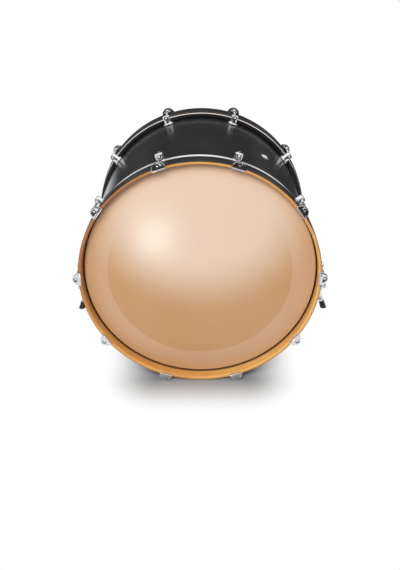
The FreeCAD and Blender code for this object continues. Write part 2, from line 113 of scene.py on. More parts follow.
# %% Short ways to add nodes
class Tree:
    """A node tree, with short ways to add the nodes that vary a value."""

    def __init__(self, owner):
        owner.use_nodes = True
        self.tree = owner.node_tree

    def node(self, kind, **settings):
        made = self.tree.nodes.new(kind)
        for key, value in settings.items():
            setattr(made, key, value)
        return made

    def feed(self, socket, value):
        """Sets a socket to a number or a colour, or links another node's output to it."""
        if isinstance(value, (int, float)):
            socket.default_value = value
        elif isinstance(value, tuple):
            socket.default_value = (*value, 1) if len(socket.default_value) == 4 else value
        else:
            self.tree.links.new(value, socket)

    def fill(self, made, values):
        """Feeds a node's sockets by their names."""
        for name, value in values.items():
            self.feed(made.inputs[name], value)

    def math(self, operation, a, b=0.0):
        made = self.node("ShaderNodeMath", operation=operation)
        self.feed(made.inputs[0], a)
        self.feed(made.inputs[1], b)
        return made.outputs[0]

    def split(self, vector):
        made = self.node("ShaderNodeSeparateXYZ")
        self.feed(made.inputs[0], vector)
        return made.outputs

    def spread(self, value, low, high, start=0.3, end=0.7, soft=False):
        """A value mapped from the range start to end onto the range low to high."""
        made = self.node("ShaderNodeMapRange", interpolation_type="SMOOTHSTEP" if soft else "LINEAR")
        ranges = {"Value": value, "From Min": start, "From Max": end, "To Min": low, "To Max": high}
        self.fill(made, ranges)
        return made.outputs["Result"]

    def fade(self, value, start, end, soft=False):
        """A share that grows from 0 to 1 while a value goes from start to end."""
        return self.spread(value, 0.0, 1.0, start, end, soft)

    def ramp(self, value, stops):
        made = self.node("ShaderNodeValToRGB")
        self.feed(made.inputs["Fac"], value)
        band = made.color_ramp
        for place, color in stops[1:-1]:
            band.elements.new(place)
        for element, (place, color) in zip(band.elements, stops):
            element.position = place
            element.color = (*color, 1)
        return made.outputs["Color"]

    def mix(self, share, first, second, kind="MIX"):
        made = self.node("ShaderNodeMix", data_type="RGBA", blend_type=kind)
        sockets = [s for s in made.inputs if s.enabled]
        for socket, value in zip(sockets, (share, first, second)):
            self.feed(socket, value)
        return next(o for o in made.outputs if o.enabled)

    def blend(self, share, first, second):
        """One shader mixed with another."""
        made = self.node("ShaderNodeMixShader")
        for socket, value in zip(made.inputs, (share, first, second)):
            self.feed(socket, value)
        return made.outputs[0]


# %% [markdown]
# ## The room
# Black lacquer and chrome show the room more than themselves, so the room is made for its reflections: a
# wide softbox overhead, a white panel on each side, and a dark space behind and in front. Bright boards
# could stand round the drum for this, but they would light it too, so the panels are painted on the world
# instead. Polished surfaces see them through Is Glossy Ray. The camera sees plain white, and matt
# surfaces get an even, weaker light. A direction's Z is how high it looks, and the edges below are ranges
# of such directions.

# %% World
WHITE = (1.0, 1.0, 1.0)
EVEN_LIGHT = 0.34
EVEN_TINT = (0.95, 0.97, 1.0)
DARK_LIGHT = 0.05
OVERHEAD_LIGHT = 1.2
OVERHEAD_EDGE = (0.36, 0.6)
PANEL_LIGHT = 0.8
PANEL_BOTTOM = (0.04, 0.2)
PANEL_SIDE = (0.0, 0.15)
PANEL_SLANT = 0.32
scene = bpy.context.scene
scene.view_settings.view_transform = "Standard"
world = bpy.data.worlds.new("studio_room")
scene.world = world
room = Tree(world)
room.tree.nodes.clear()


def room_light(color, strength):
    """A background of one colour, with a strength that is a number or another node's output."""
    made = room.node("ShaderNodeBackground")
    room.fill(made, {"Color": color, "Strength": strength})
    return made.outputs[0]


way = room.split(room.node("ShaderNodeTexCoord").outputs["Generated"])
overhead = room.spread(way["Z"], 0.0, OVERHEAD_LIGHT, *OVERHEAD_EDGE, soft=True)
dark_gap = room.math("MULTIPLY", room.math("ABSOLUTE", way["Y"]), PANEL_SLANT)
aside = room.math("SUBTRACT", room.math("ABSOLUTE", way["X"]), dark_gap)
panel_height = room.spread(way["Z"], 0.0, PANEL_LIGHT, *PANEL_BOTTOM, soft=True)
panels = room.math("MULTIPLY", room.fade(aside, *PANEL_SIDE, soft=True), panel_height)
reflected = room.math("ADD", room.math("MAXIMUM", overhead, panels), DARK_LIGHT)
rays = room.node("ShaderNodeLightPath").outputs
even_room = room_light(EVEN_TINT, EVEN_LIGHT)
in_polish = room.blend(rays["Is Glossy Ray"], even_room, room_light(WHITE, reflected))
seen = room.math("MAXIMUM", rays["Is Camera Ray"], rays["Is Transmission Ray"])
shown = room.blend(seen, in_polish, room_light(WHITE, 1.0))
room.feed(room.node("ShaderNodeOutputWorld").inputs["Surface"], shown)
print("room nodes", len(room.tree.nodes))

# %% [markdown]
# ## The lamps
# A studio lights a drum with large softboxes, which give soft edges to shadows. Here they are area lamps:
# one above, one in front and to the left, and one behind. A sun lamp would be simpler, but its shadow is
# hard. Metal doesn't mirror these lamps, since the painted room stands in for them. The last lamp is a
# small one that only the gloss shows: it makes the soft highlight on the film and lights nothing else.


# %% Softboxes
def softbox(name, place, target, width, height, watts, tint=WHITE):
    """A rectangular area lamp at a place, facing a target."""
    lamp = bpy.data.lights.new(name, "AREA")
    lamp.shape = "RECTANGLE"
    lamp.size = width
    lamp.size_y = height
    lamp.energy = watts
    lamp.color = tint
    stand = bpy.data.objects.new(name, lamp)
    scene.collection.objects.link(stand)
    stand.location = place
    stand.rotation_euler = (Vector(target) - Vector(place)).to_track_quat("-Z", "Y").to_euler()
    stand.visible_camera = False
    stand.visible_glossy = False
    return stand


middle = (0, 0, DRUM_RADIUS)
batter_end = (0, -0.2, 0.3)
highlight = (-0.107, -0.204, 0.38)
softbox("overhead_softbox", place=(0.0, 0.5, 2.3), target=middle, width=2.0, height=1.6, watts=40)
softbox(
    "front_softbox", place=(-0.35, -2.3, 1.95), target=batter_end, width=1.2, height=1.0, watts=66,
    tint=(1, 0.98, 0.96),
)
softbox("back_softbox", place=(-0.4, 2.5, 1.3), target=middle, width=1.6, height=1.2, watts=24)
glow = softbox(
    "film_glow", place=(-0.163, -0.886, 0.085), target=highlight, width=0.1, height=0.1, watts=0.44,
    tint=(0.7, 0.95, 1.0),
)
glow.visible_glossy = True
glow.visible_diffuse = False

# %% [markdown]
# ## The floor
# The floor is plain white paper. Near the drum it is matt grey paper: a painted shadow in the shape of
# the drum's footprint, on which the lamps' own shade also falls. Further out it fades to the white of the
# room, so no horizon shows. A bent backdrop would do that too, but it would hide the drum from behind.
# What polished surfaces mirror is darker past a slanted edge in front and another behind, as if black
# cloth lay there: it gives the upper claws their dark faces and keeps the shell black.

# %% Floor
FLOOR_SIZE = 60.0
FLOOR_DROP = 0.0004
bpy.ops.object.select_all(action="DESELECT")
bpy.ops.mesh.primitive_plane_add(size=FLOOR_SIZE, location=(0, 0, -FLOOR_DROP))
floor = bpy.context.object
floor.name = "studio_floor"
paper_sheet = bpy.data.materials.new("floor_paper")
floor.data.materials.append(paper_sheet)
print("floor", FLOOR_SIZE, "m wide")

# %% The floor's paper and its painted shadow
# The matt paper near the drum is grey: a painted shadow in the shape of the drum's footprint, on which the
# lamps' own shade also falls.
PAINTED_SHADOW_PAPER = (0.34, 0.34, 0.345)
SHADOW_HALVES = {"X": 0.11, "Y": 0.225}
SHADOW_FADE = 0.15
ground = Tree(paper_sheet)
ground.tree.nodes.clear()
spot = ground.split(ground.node("ShaderNodeTexCoord").outputs["Object"])


def cloth(slant, low, high, start, end):
    """How white polish sees the paper, from one side of a slanted edge to the other."""
    across = ground.math("ADD", spot["Y"], ground.math("MULTIPLY", spot["X"], slant))
    return ground.spread(across, low, high, start, end, soft=True)


# How far a point lies outside the drum's footprint. The painted shadow fades to white paper over this
# distance.
apart = []
for axis, half in SHADOW_HALVES.items():
    away = ground.math("SUBTRACT", ground.math("ABSOLUTE", spot[axis]), half)
    apart.append(ground.math("POWER", ground.math("MAXIMUM", away, 0.0), 2.0))
outside = ground.math("SQRT", ground.math("ADD", *apart))
whiteness = ground.fade(outside, 0.0, SHADOW_FADE, soft=True)
front_cloth = cloth(slant=-0.65, low=0.04, high=1.0, start=-1.4, end=-1.15)
far_cloth = cloth(slant=0.75, low=1.0, high=0.06, start=0.7, end=2.1)
mirrored_paper = ground.math("MULTIPLY", front_cloth, far_cloth)
rays = ground.node("ShaderNodeLightPath").outputs
seen = ground.math("MAXIMUM", rays["Is Camera Ray"], rays["Is Transmission Ray"])
seen = ground.math("MAXIMUM", seen, rays["Is Glossy Ray"])
bright = ground.node("ShaderNodeEmission")
not_mirrored = ground.math("SUBTRACT", 1.0, rays["Is Glossy Ray"])
ground.feed(bright.inputs["Strength"], ground.math("MAXIMUM", not_mirrored, mirrored_paper))
matt = ground.node("ShaderNodeBsdfDiffuse")
ground.feed(matt.inputs["Color"], PAINTED_SHADOW_PAPER)
sheet = ground.blend(ground.math("MULTIPLY", whiteness, seen), matt.outputs[0], bright.outputs[0])
ground.feed(ground.node("ShaderNodeOutputMaterial").inputs["Surface"], sheet)
print("paper nodes", len(ground.tree.nodes))

# %% [markdown]
# ## Finishes
# Each finish starts from the Principled shader and varies its colour, roughness and bump, because no real
# surface is one flat colour. Pictures could carry that detail, but noise needs no file and has no seams.
# Patterns read Object coordinates, so they are in metres and stay on the piece.


# %% What every finish shares
class Finish(Tree):
    """A material with a Principled shader."""

    LEAN = 0.6

    def __init__(self, name, color, roughness, metallic=0.0):
        self.material = bpy.data.materials.new(name)
        super().__init__(self.material)
        self.shader = self.tree.nodes["Principled BSDF"]
        self.coords = self.node("ShaderNodeTexCoord").outputs["Object"]
        self.fill(self.shader, {"Base Color": color, "Roughness": roughness, "Metallic": metallic})

    def put(self, socket, value):
        self.feed(self.shader.inputs[socket], value)

    def noise(self, vector, scale, detail=4.0, rough=0.5):
        made = self.node("ShaderNodeTexNoise")
        self.fill(made, {"Vector": vector, "Scale": scale, "Detail": detail, "Roughness": rough})
        return made.outputs["Fac"]

    def bump(self, height, strength, depth):
        made = self.node("ShaderNodeBump")
        self.fill(made, {"Height": height, "Strength": strength, "Distance": depth})
        self.put("Normal", made.outputs["Normal"])

    def from_point(self, point):
        """The distance from a point, in metres."""
        made = self.node("ShaderNodeVectorMath", operation="DISTANCE")
        self.feed(made.inputs[0], self.coords)
        self.feed(made.inputs[1], point)
        return made.outputs["Value"]

    def across_and_up(self):
        """How far a point lies to the side of the drum's axis, and above it."""
        place = self.split(self.coords)
        return place["X"], self.math("SUBTRACT", place["Z"], DRUM_RADIUS)

    def from_axis(self):
        """The distance from the drum's axis, in metres."""
        x, up = self.across_and_up()
        squares = self.math("ADD", self.math("MULTIPLY", x, x), self.math("MULTIPLY", up, up))
        return self.math("SQRT", squares)

    def to_lower_right(self):
        """How far a point lies towards the batter end's lower right, in metres from the drum's axis."""
        x, up = self.across_and_up()
        return self.math("SUBTRACT", x, self.math("MULTIPLY", up, self.LEAN))

    def along_grain(self, stretch):
        """Coordinates that follow the drum's round, as bent wood does, with the arc's length stretched."""
        join = self.node("ShaderNodeCombineXYZ")
        arc = self.math("MULTIPLY", self.math("ARCTAN2", *self.across_and_up()), stretch * DRUM_RADIUS)
        self.fill(join, {"X": self.from_axis(), "Y": arc, "Z": self.split(self.coords)["Y"]})
        return join.outputs[0]


# %% [markdown]
# ## Woods
# Shell and hoops are thin maple plies bent round, so the grain runs round the drum. A straight grain
# would need a long UV map, and coordinates made from the angle give the same with no map. The hoops are
# lacquered amber, with painted shade towards the upper left and painted light towards the lower right.
# Painted shade darkens the inside of each hoop next to the film, and its outside is painted dark.

# %% Woods
# Painted shade on the inside of the hoop next to the film, where the groove between them lies in shade. It
# fades out along the drum.
GROOVE_SHADE_DEPTH = 0.2045
GROOVE_SHADE_FADE = 0.0045
PAINT_RADIUS = 0.2907
RIM_EDGE = (0.2862, 0.2886)
PAINTED_GROOVE_SHADE = (0.16, 0.085, 0.045)
OUTSIDE_PAINT = (0.012, 0.01, 0.008)
# Painted shade towards the upper left and painted light towards the lower right, on the hoop's face and on
# its rounded rim.
PAINTED_SHADE_FACE = (0.5, 0.33, 0.2)
MIDDLE_FACE = (1.06, 1.1, 1.15)
PAINTED_LIGHT_FACE = (1.2, 1.45, 1.7)
PAINTED_SHADE_RIM = (0.68, 0.48, 0.35)
MIDDLE_RIM = (1.08, 1.12, 1.16)


def hoop_paint_light_and_shade(wood, bare_wood):
    """A hoop's wood with painted shade and light across it, painted shade inside next to the film, and dark
    paint outside.
    """
    lean = wood.to_lower_right()
    radius = wood.from_axis()
    # Painted shade at the upper left and painted light at the lower right of the face and the rim.
    face = wood.mix(wood.fade(lean, start=-0.32, end=-0.16), PAINTED_SHADE_FACE, MIDDLE_FACE)
    face = wood.mix(wood.fade(lean, start=0.1, end=0.28), face, PAINTED_LIGHT_FACE)
    rim = wood.mix(wood.fade(lean, start=-0.32, end=-0.19), PAINTED_SHADE_RIM, MIDDLE_RIM)
    painted_light_and_shade = wood.mix(wood.fade(radius, *RIM_EDGE), face, rim)
    tone_with_painted_light = wood.mix(1.0, bare_wood, painted_light_and_shade, "MULTIPLY")
    depth = wood.math("ABSOLUTE", wood.split(wood.coords)["Y"])
    # Painted shade on the inside of the hoop, next to the film.
    inside = wood.spread(depth, 1.0, 0.0, GROOVE_SHADE_DEPTH, GROOVE_SHADE_DEPTH + GROOVE_SHADE_FADE)
    outside = wood.fade(radius, PAINT_RADIUS, PAINT_RADIUS + 0.3 * MM)
    return wood.mix(outside, wood.mix(inside, tone_with_painted_light, PAINTED_GROOVE_SHADE), OUTSIDE_PAINT)


def maple(name, pale, warm, coat, painted=False):
    """Maple with its grain running round the drum, under clear lacquer."""
    wood = Finish(name, pale, 0.42)
    grain = wood.along_grain(stretch=0.06)
    fine = wood.noise(grain, scale=420.0, detail=5.0, rough=0.6)
    broad = wood.noise(grain, scale=70.0, detail=3.0)
    tone = wood.math("ADD", wood.math("MULTIPLY", fine, 0.55), wood.math("MULTIPLY", broad, 0.45))
    between = tuple((a + b) / 2 for a, b in zip(pale, warm))
    bare_wood = wood.ramp(tone, [(0.36, warm), (0.5, between), (0.64, pale)])
    wood.put("Base Color", hoop_paint_light_and_shade(wood, bare_wood) if painted else bare_wood)
    wood.put("Roughness", wood.spread(fine, low=0.34, high=0.5))
    wood.put("Coat Weight", coat)
    wood.put("Coat Roughness", 0.18)
    wood.bump(fine, strength=0.04, depth=0.3 * MM)
    return wood.material


finishes = {}
finishes["maple_ply"] = maple("maple_ply", pale=(0.62, 0.42, 0.24), warm=(0.45, 0.27, 0.13), coat=0.0)
finishes["hoop_maple"] = maple(
    "hoop_maple", pale=(0.7, 0.34, 0.09), warm=(0.56, 0.235, 0.05), coat=0.2, painted=True
)
print("woods", list(finishes))

# %% [markdown]
# ## Lacquers
# The shell is sprayed with black lacquer, which is smooth to the eye and yet never a perfect mirror:
# sprayed coats dry with a faint orange peel. One black with a low roughness would look like glass, so the
# bump is broad and slight, the gloss changes a little from place to place, and fine specks lift the
# black. The hoop's band is the same paint with less shine.


# %% Lacquers
def black_lacquer(name, shade, low, high, peel, shine):
    """Black lacquer with a slight orange peel and dust-fine changes of gloss."""
    coat = Finish(name, shade, low)
    haze = coat.noise(coat.coords, scale=9.0, detail=5.0, rough=0.6)
    speck = coat.noise(coat.coords, scale=900.0, detail=2.0)
    lifted = tuple(v * 1.8 for v in shade)
    coat.put("Roughness", coat.spread(haze, low, high))
    coat.put("Base Color", coat.mix(coat.fade(speck, 0.45, 0.75), shade, lifted))
    coat.put("Specular IOR Level", shine)
    coat.bump(coat.noise(coat.coords, scale=peel, detail=2.0), strength=0.03, depth=0.3 * MM)
    return coat.material


finishes["black_lacquer"] = black_lacquer(
    "black_lacquer", shade=(0.0088, 0.009, 0.0088), low=0.16, high=0.22, peel=260.0, shine=0.5
)
finishes["hoop_black"] = black_lacquer(
    "hoop_black", shade=(0.0085, 0.0087, 0.0085), low=0.26, high=0.34, peel=420.0, shine=0.2
)
print("woods and lacquers", len(finishes))

# %% [markdown]
# ## Films
# A batter film is frosted polyester. Its upper middle is paler, which is painted light, a damping ring
# under it shows through near the edge, and the edge itself is darker and deeper in colour, which is
# painted shade of the hoop, most of all at the upper left. The painted light could be painted on a
# picture, but the distance from one point gives the same soft patch, and the distance from the axis gives
# the ring.

# %% Films
# The paler zone in the film's upper middle is painted light, round one point and fading out over a range of
# distances.
PAINTED_LIGHT_MIDDLE = (0.005, -0.2038, 0.48)
PAINTED_LIGHT_REACH = (0.15, 0.31)
# Painted shade of the hoop on the film's edge, strongest at the upper left.
PAINTED_EDGE_SHADE_REACH = (0.238, 0.278)
RING_START = 0.2243
RING_BLUR = 0.0006
PAINTED_LIT_FILM = (0.755, 0.575, 0.44)
OVER_RING = (0.595, 0.37, 0.21)
PLAIN_WHITE = (0.78, 0.77, 0.74)


def film(name, deep, pale, ring, edge):
    """A frosted polyester film, with painted light in a zone of its upper middle, its own tone over the
    ring, and painted shade at its edge.
    """
    skin = Finish(name, deep, 0.38)
    radius = skin.from_axis()
    over_ring = skin.spread(radius, 0.0, 0.75, RING_START - RING_BLUR, RING_START + RING_BLUR)
    cloud = skin.noise(skin.coords, scale=5.0, detail=3.0)
    fleck = skin.noise(skin.coords, scale=700.0, detail=3.0, rough=0.6)
    # Painted light: the film is paler round one point in its upper middle.
    painted_light_share = skin.spread(skin.from_point(PAINTED_LIGHT_MIDDLE), 1.0, 0.0, *PAINTED_LIGHT_REACH, soft=True)
    film_with_painted_light = skin.mix(painted_light_share, skin.mix(over_ring, deep, ring), pale)
    tone_with_painted_light = skin.mix(skin.spread(cloud, 0.0, 0.12), film_with_painted_light, pale)
    # Painted shade near the edge, where the hoop's shadow falls, strongest at the upper left.
    upper_left = skin.spread(skin.to_lower_right(), 1.0, 0.35, -0.25, 0.25)
    painted_edge_shade = skin.math("MULTIPLY", skin.fade(radius, *PAINTED_EDGE_SHADE_REACH, soft=True), upper_left)
    skin.put("Base Color", skin.mix(painted_edge_shade, tone_with_painted_light, edge, "MULTIPLY"))
    skin.put("Roughness", skin.spread(fleck, low=0.2, high=0.24))
    skin.bump(fleck, strength=0.06, depth=0.2 * MM)
    return skin.material


# Each film's edge colour is the tint of its painted shade.
finishes["amber_film"] = film(
    "amber_film", deep=(0.53, 0.285, 0.115), pale=PAINTED_LIT_FILM, ring=OVER_RING, edge=(0.92, 0.83, 0.7)
)
finishes["ring_film"] = film("ring_film", deep=OVER_RING, pale=PAINTED_LIT_FILM, ring=OVER_RING, edge=WHITE)
finishes["white_film"] = film(
    "white_film", deep=PLAIN_WHITE, pale=(0.82, 0.81, 0.79), ring=PLAIN_WHITE, edge=(0.96, 0.96, 0.95)
)
print("films", [name for name in finishes if name.endswith("film")])

# %% [markdown]
# ## Metals
# Claws, lugs, rods and spurs are chrome plated, the screws are zinc plated, and the nuts in the lugs are
# brass. Polished metal gets its look from the room, so the finish only adds smudges to the gloss and
# faint scratches. The head's flesh hoop is rolled aluminium, bright on its rim. Below the rim, round the
# channel that holds the film, it is dark and not metallic. It could be two materials, but the radius
# tells the one from the other.


# %% Metals
def plated(name, color, low, high, smudge, scratch):
    """A metal with smudges in its polish and faint scratches."""
    metal = Finish(name, color, low, metallic=1.0)
    smear = metal.noise(metal.coords, scale=smudge, detail=5.0, rough=0.6)
    fine = metal.noise(metal.coords, scale=scratch, detail=3.0, rough=0.7)
    dulled = tuple(v * 0.86 for v in color)
    metal.put("Roughness", metal.spread(smear, low, high))
    metal.put("Base Color", metal.mix(metal.spread(fine, 0.0, 0.5), color, dulled))
    metal.bump(fine, strength=0.02, depth=0.1 * MM)
    return metal.material


def rolled_rim(name, bright, dark_below_rim, rim_start):
    """Rolled aluminium that is bright on its rim, and dark and not metallic below it."""
    hoop = Finish(name, bright, 0.16)
    on_rim = hoop.fade(hoop.from_axis(), rim_start - 0.2 * MM, rim_start + 0.2 * MM)
    smear = hoop.noise(hoop.coords, scale=40.0, detail=4.0, rough=0.6)
    dulled = tuple(v * 0.8 for v in bright)
    metal = hoop.mix(hoop.spread(smear, 0.0, 0.5), bright, dulled)
    # Dark and not metallic below the rim, bright metal on it.
    hoop.put("Base Color", hoop.mix(on_rim, dark_below_rim, metal))
    hoop.put("Metallic", on_rim)
    hoop.put("Roughness", hoop.mix(on_rim, (0.55, 0.55, 0.55), hoop.spread(smear, low=0.14, high=0.24)))
    return hoop.material


finishes["chrome"] = plated("chrome", (0.72, 0.73, 0.74), low=0.05, high=0.13, smudge=30.0, scratch=1200.0)
finishes["zinc_steel"] = plated(
    "zinc_steel", (0.6, 0.61, 0.62), low=0.25, high=0.4, smudge=80.0, scratch=1500.0
)
finishes["brass"] = plated("brass", (0.66, 0.58, 0.42), low=0.18, high=0.32, smudge=80.0, scratch=1500.0)
finishes["aluminium"] = rolled_rim(
    "aluminium", bright=(0.86, 0.87, 0.88), dark_below_rim=(0.012, 0.012, 0.012), rim_start=0.2896
)
print("finishes so far", len(finishes))

# %% [markdown]
# ## Rubber
# Gaskets, liners and feet are moulded black rubber. It is dull and never quite black: it greys where it
# is rubbed, and its skin has a fine grit. Both are noise, one broad and one fine, because a flat dark
# grey would look like card.


# %% Rubber
def rubber(name, shade):
    """Moulded black rubber, dull and slightly grey where it is rubbed."""
    stuff = Finish(name, shade, 0.7)
    rub = stuff.noise(stuff.coords, scale=60.0, detail=5.0, rough=0.6)
    grit = stuff.noise(stuff.coords, scale=1500.0, detail=2.0)
    greyed = tuple(v * 2.2 for v in shade)
    stuff.put("Base Color", stuff.mix(stuff.spread(rub, 0.0, 0.7), shade, greyed))
    stuff.put("Roughness", stuff.spread(rub, low=0.6, high=0.82))
    stuff.bump(grit, strength=0.2, depth=0.3 * MM)
    return stuff.material


finishes["black_rubber"] = rubber("black_rubber", shade=(0.022, 0.022, 0.023))
print("finishes", len(finishes))

# %% [markdown]
# ## Dressing the solids
# The record names a material slot for each solid. A list could be kept here as well, but it might miss
# one, so the finishes are given out by the record's slots. The solids that stay in view, such as the
# shell, its lacquer skin and the gaskets, are then done.

# %% Dress the solids
slot_of = {row["node"]: row["material_slot"] for row in frame["record"]["subparts"]}
for name, solid in frame["nodes"].items():
    solid.data.materials.clear()
    solid.data.materials.append(finishes[slot_of[name]])
print("dressed solids", len(frame["nodes"]))

# %% [markdown]
# ## Modelling by hand
# The pieces below are made as a modeller makes them: a primitive is added, opened in edit mode, extruded,
# spun or bevelled, and joined to others with Boolean modifiers that are applied at once. A mesh could
# also be written point by point, but these steps can be followed with a mouse. Every operator acts on
# what is selected, so the first helpers clear the selection and pick vertices, edges or faces by their
# place.


# %% Selecting
def bare():
    """Object mode, with nothing selected."""
    if bpy.context.object is not None and bpy.context.object.mode != "OBJECT":
        bpy.ops.object.mode_set(mode="OBJECT")
    bpy.ops.object.select_all(action="DESELECT")


def only(piece):
    """Makes one piece the selected and active one."""
    bare()
    piece.select_set(True)
    bpy.context.view_layer.objects.active = piece


def edit(piece, kind):
    """Opens a piece in edit mode, set to pick VERT, EDGE or FACE."""
    only(piece)
    bpy.ops.object.mode_set(mode="EDIT")
    bpy.ops.mesh.select_mode(type=kind)
    bpy.ops.mesh.select_all(action="DESELECT")


def pick(piece, wanted):
    """Selects the vertices, edges or faces that the test says yes to, and says how many they are."""
    bpy.ops.mesh.select_all(action="DESELECT")
    mesh = bmesh.from_edit_mesh(piece.data)
    by_vertex, by_edge, by_face = bpy.context.tool_settings.mesh_select_mode
    items = mesh.verts if by_vertex else mesh.edges if by_edge else mesh.faces
    found = [item for item in items if wanted(item)]
    for item in found:
        item.select_set(True)
    mesh.select_flush_mode()
    bmesh.update_edit_mesh(piece.data)
    return len(found)


# %% [markdown]
# ## The lathe
# Most of a drum is round, and a metal worker turns such pieces on a lathe from one outline. Spin does the
# same: a point is drawn on along the outline, and the line is spun round the Z axis. The Screw modifier
# could do it too, but spin leaves a plain mesh that can be edited at once. An outline's corners are
# rounded first, because real edges are never sharp and their small arcs catch the light. Outlines are in
# millimetres.


# %% Turning on a lathe
def rounded(corners, closed=False, steps=5):
    """An outline whose corners (radius, height, round) are rounded where a round is given."""
    outline = []
    last = len(corners) - 1
    for k, corner in enumerate(corners):
        here = Vector(corner[:2])
        if len(corner) < 3 or (not closed and k in (0, last)):
            outline.append(tuple(here))
            continue
        back = (Vector(corners[k - 1][:2]) - here).normalized()
        on = (Vector(corners[(k + 1) % len(corners)][:2]) - here).normalized()
        half = back.angle(on) / 2
        centre = here + (back + on).normalized() * corner[2] / math.sin(half)
        first = here + back * corner[2] / math.tan(half) - centre
        second = here + on * corner[2] / math.tan(half) - centre
        for s in range(steps + 1):
            ray = first.lerp(second, s / steps).normalized() * corner[2]
            outline.append(tuple(centre + ray))
    return outline


def start_point(name, radius, height):
    """A mesh of one vertex at a radius and a height, open in edit mode with the vertex selected."""
    bare()
    bpy.ops.mesh.primitive_plane_add(size=MM)
    piece = bpy.context.object
    piece.name = name
    edit(piece, "VERT")
    bpy.ops.mesh.select_all(action="SELECT")
    bpy.ops.mesh.merge(type="CENTER")
    bpy.ops.transform.translate(value=(radius * MM, 0, height * MM))
    return piece


def draw_on(out, up):
    """Extrudes the selected vertex by a step out from the axis and along it."""
    bpy.ops.mesh.extrude_vertices_move(TRANSFORM_OT_translate={"value": (out * MM, 0, up * MM)})


def lathe(name, outline, steps, closed=False):
    """Turns an outline of (radius, height) around the Z axis."""
    piece = start_point(name, *outline[0])
    for (r0, h0), (r1, h1) in zip(outline, outline[1:]):
        draw_on(r1 - r0, h1 - h0)
    if closed:
        ends = [Vector((r * MM, 0, h * MM)) for r, h in (outline[0], outline[-1])]
        pick(piece, lambda v: min((v.co - end).length for end in ends) < 1e-7)
        bpy.ops.mesh.edge_face_add()
    bpy.ops.mesh.select_all(action="SELECT")
    bpy.ops.mesh.spin(steps=steps, angle=2 * math.pi, center=(0, 0, 0), axis=(0, 0, 1))
    bpy.ops.mesh.select_all(action="SELECT")
    bpy.ops.mesh.remove_doubles(threshold=1e-6)
    bpy.ops.mesh.normals_make_consistent(inside=False)
    bare()
    return piece


# %% [markdown]
# ## Placing and dressing
# A finished piece's object stays at the origin, with its place in its mesh, so that patterns fit all
# pieces alike. What repeats is made once and copied, and each copy has a mesh of its own. Dressing gives
# a piece its finish, the body that it moves with and the solid that it stands for.


# %% Placing, copying and dressing
def place(piece, matrix):
    """Moves a piece and bakes its place into its mesh."""
    only(piece)
    piece.matrix_world = matrix
    bpy.ops.object.transform_apply(location=True, rotation=True, scale=True)
    return piece


def smooth(piece, angle=32):
    """Shades a piece smooth, apart from its sharp edges."""
    only(piece)
    bpy.ops.object.shade_smooth_by_angle(angle=math.radians(angle))
    return piece


def twin(piece, name, matrix):
    """A copy of a piece with its own mesh, carried by a matrix."""
    copy = piece.copy()
    copy.data = piece.data.copy()
    copy.name = name
    scene.collection.objects.link(copy)
    copy.data.transform(matrix)
    return copy


def dress(piece, body, slot, node):
    """Gives a piece its finish, its body and the solid that it stands for."""
    piece.data.materials.clear()
    piece.data.materials.append(finishes[slot])
    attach(piece, body)
    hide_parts(node)
    print(piece.name, "on", body, "with", len(piece.data.polygons), "faces")
    return piece


# %% [markdown]
# ## The heads
# A drum head is a polyester film moulded with a collar and held in an aluminium flesh hoop. A wooden
# counterhoop with a black band pulls it down over the shell. A flat disc could stand for the film, but
# the moulded bend at its edge catches the light. So each piece is one outline spun round the drum's axis,
# with many steps because these are the largest circles in the picture. Places along the drum come from
# the solids, and radii are given here. The film's flat has two extra rings of vertices, which keep the
# shading of the bend out of the middle.

# %% Outlines of a head's pieces
FILM = 0.3
FLAT_RINGS = (120.0, 224.0)
BEND = 279.8
BEND_ROUND = 2.0
COLLAR = 282.0
COLLAR_TURN = 194.5
FLESH_INSIDE = 281.0
FLESH_LIP = 291.6
CHANNEL_INSIDE = 281.8
CHANNEL_OUTSIDE = 283.0
HOOP_INSIDE = 283.5
BAND_INSIDE = 291.3
BAND_OUTSIDE = DRUM_RADIUS / MM


def along(node):
    """Where a solid starts and ends along the drum, in millimetres."""
    low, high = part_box(node)
    return round(low[1] / MM, 2), round(high[1] / MM, 2)


film_hem, film_face = along("front_film")
film_back = film_face - FILM
flesh_back, flesh_face = along("front_flesh_hoop")
hoop_back, hoop_face = along("front_hoop")
band_face = along("front_hoop_band")[1]
film_outline = rounded(
    [(radius, film_back) for radius in (0, *FLAT_RINGS)]
    + [(BEND, film_back, BEND_ROUND), (COLLAR, COLLAR_TURN), (COLLAR, film_hem)]
    + [(COLLAR + FILM, film_hem), (COLLAR + FILM, COLLAR_TURN), (BEND + FILM, film_face, BEND_ROUND + FILM)]
    + [(radius, film_face) for radius in (*reversed(FLAT_RINGS), 0)]
)
flesh_outline = rounded(
    [
        (FLESH_INSIDE, flesh_back, 0.8), (FLESH_LIP - 1.1, flesh_back, 0.7),
        (FLESH_LIP, flesh_back + 1.4, 0.9), (FLESH_LIP - 1.6, flesh_face - 3.0, 1.6),
        (FLESH_LIP - 3.2, flesh_face, 0.8),
        (CHANNEL_OUTSIDE, flesh_face, 0.4), (CHANNEL_OUTSIDE, film_hem), (CHANNEL_INSIDE, film_hem),
        (CHANNEL_INSIDE, flesh_face, 0.3), (FLESH_INSIDE, flesh_face, 0.3),
    ],
    closed=True,
)
hoop_outline = rounded(
    [
        (HOOP_INSIDE, hoop_back, 1.6), (BAND_INSIDE, hoop_back), (BAND_INSIDE, band_face),
        (BAND_OUTSIDE, band_face), (BAND_OUTSIDE, hoop_face, 0.85), (HOOP_INSIDE, hoop_face, 4.5),
    ],
    closed=True,
)
band_corners = [(BAND_INSIDE, hoop_back), (BAND_OUTSIDE, hoop_back, 0.3), (BAND_OUTSIDE, band_face, 0.15)]
band_outline = rounded([*band_corners, (BAND_INSIDE, band_face)], closed=True)
print("hoop from", hoop_back, "to", hoop_face, "mm, film at", film_face, "mm from the drum's middle")

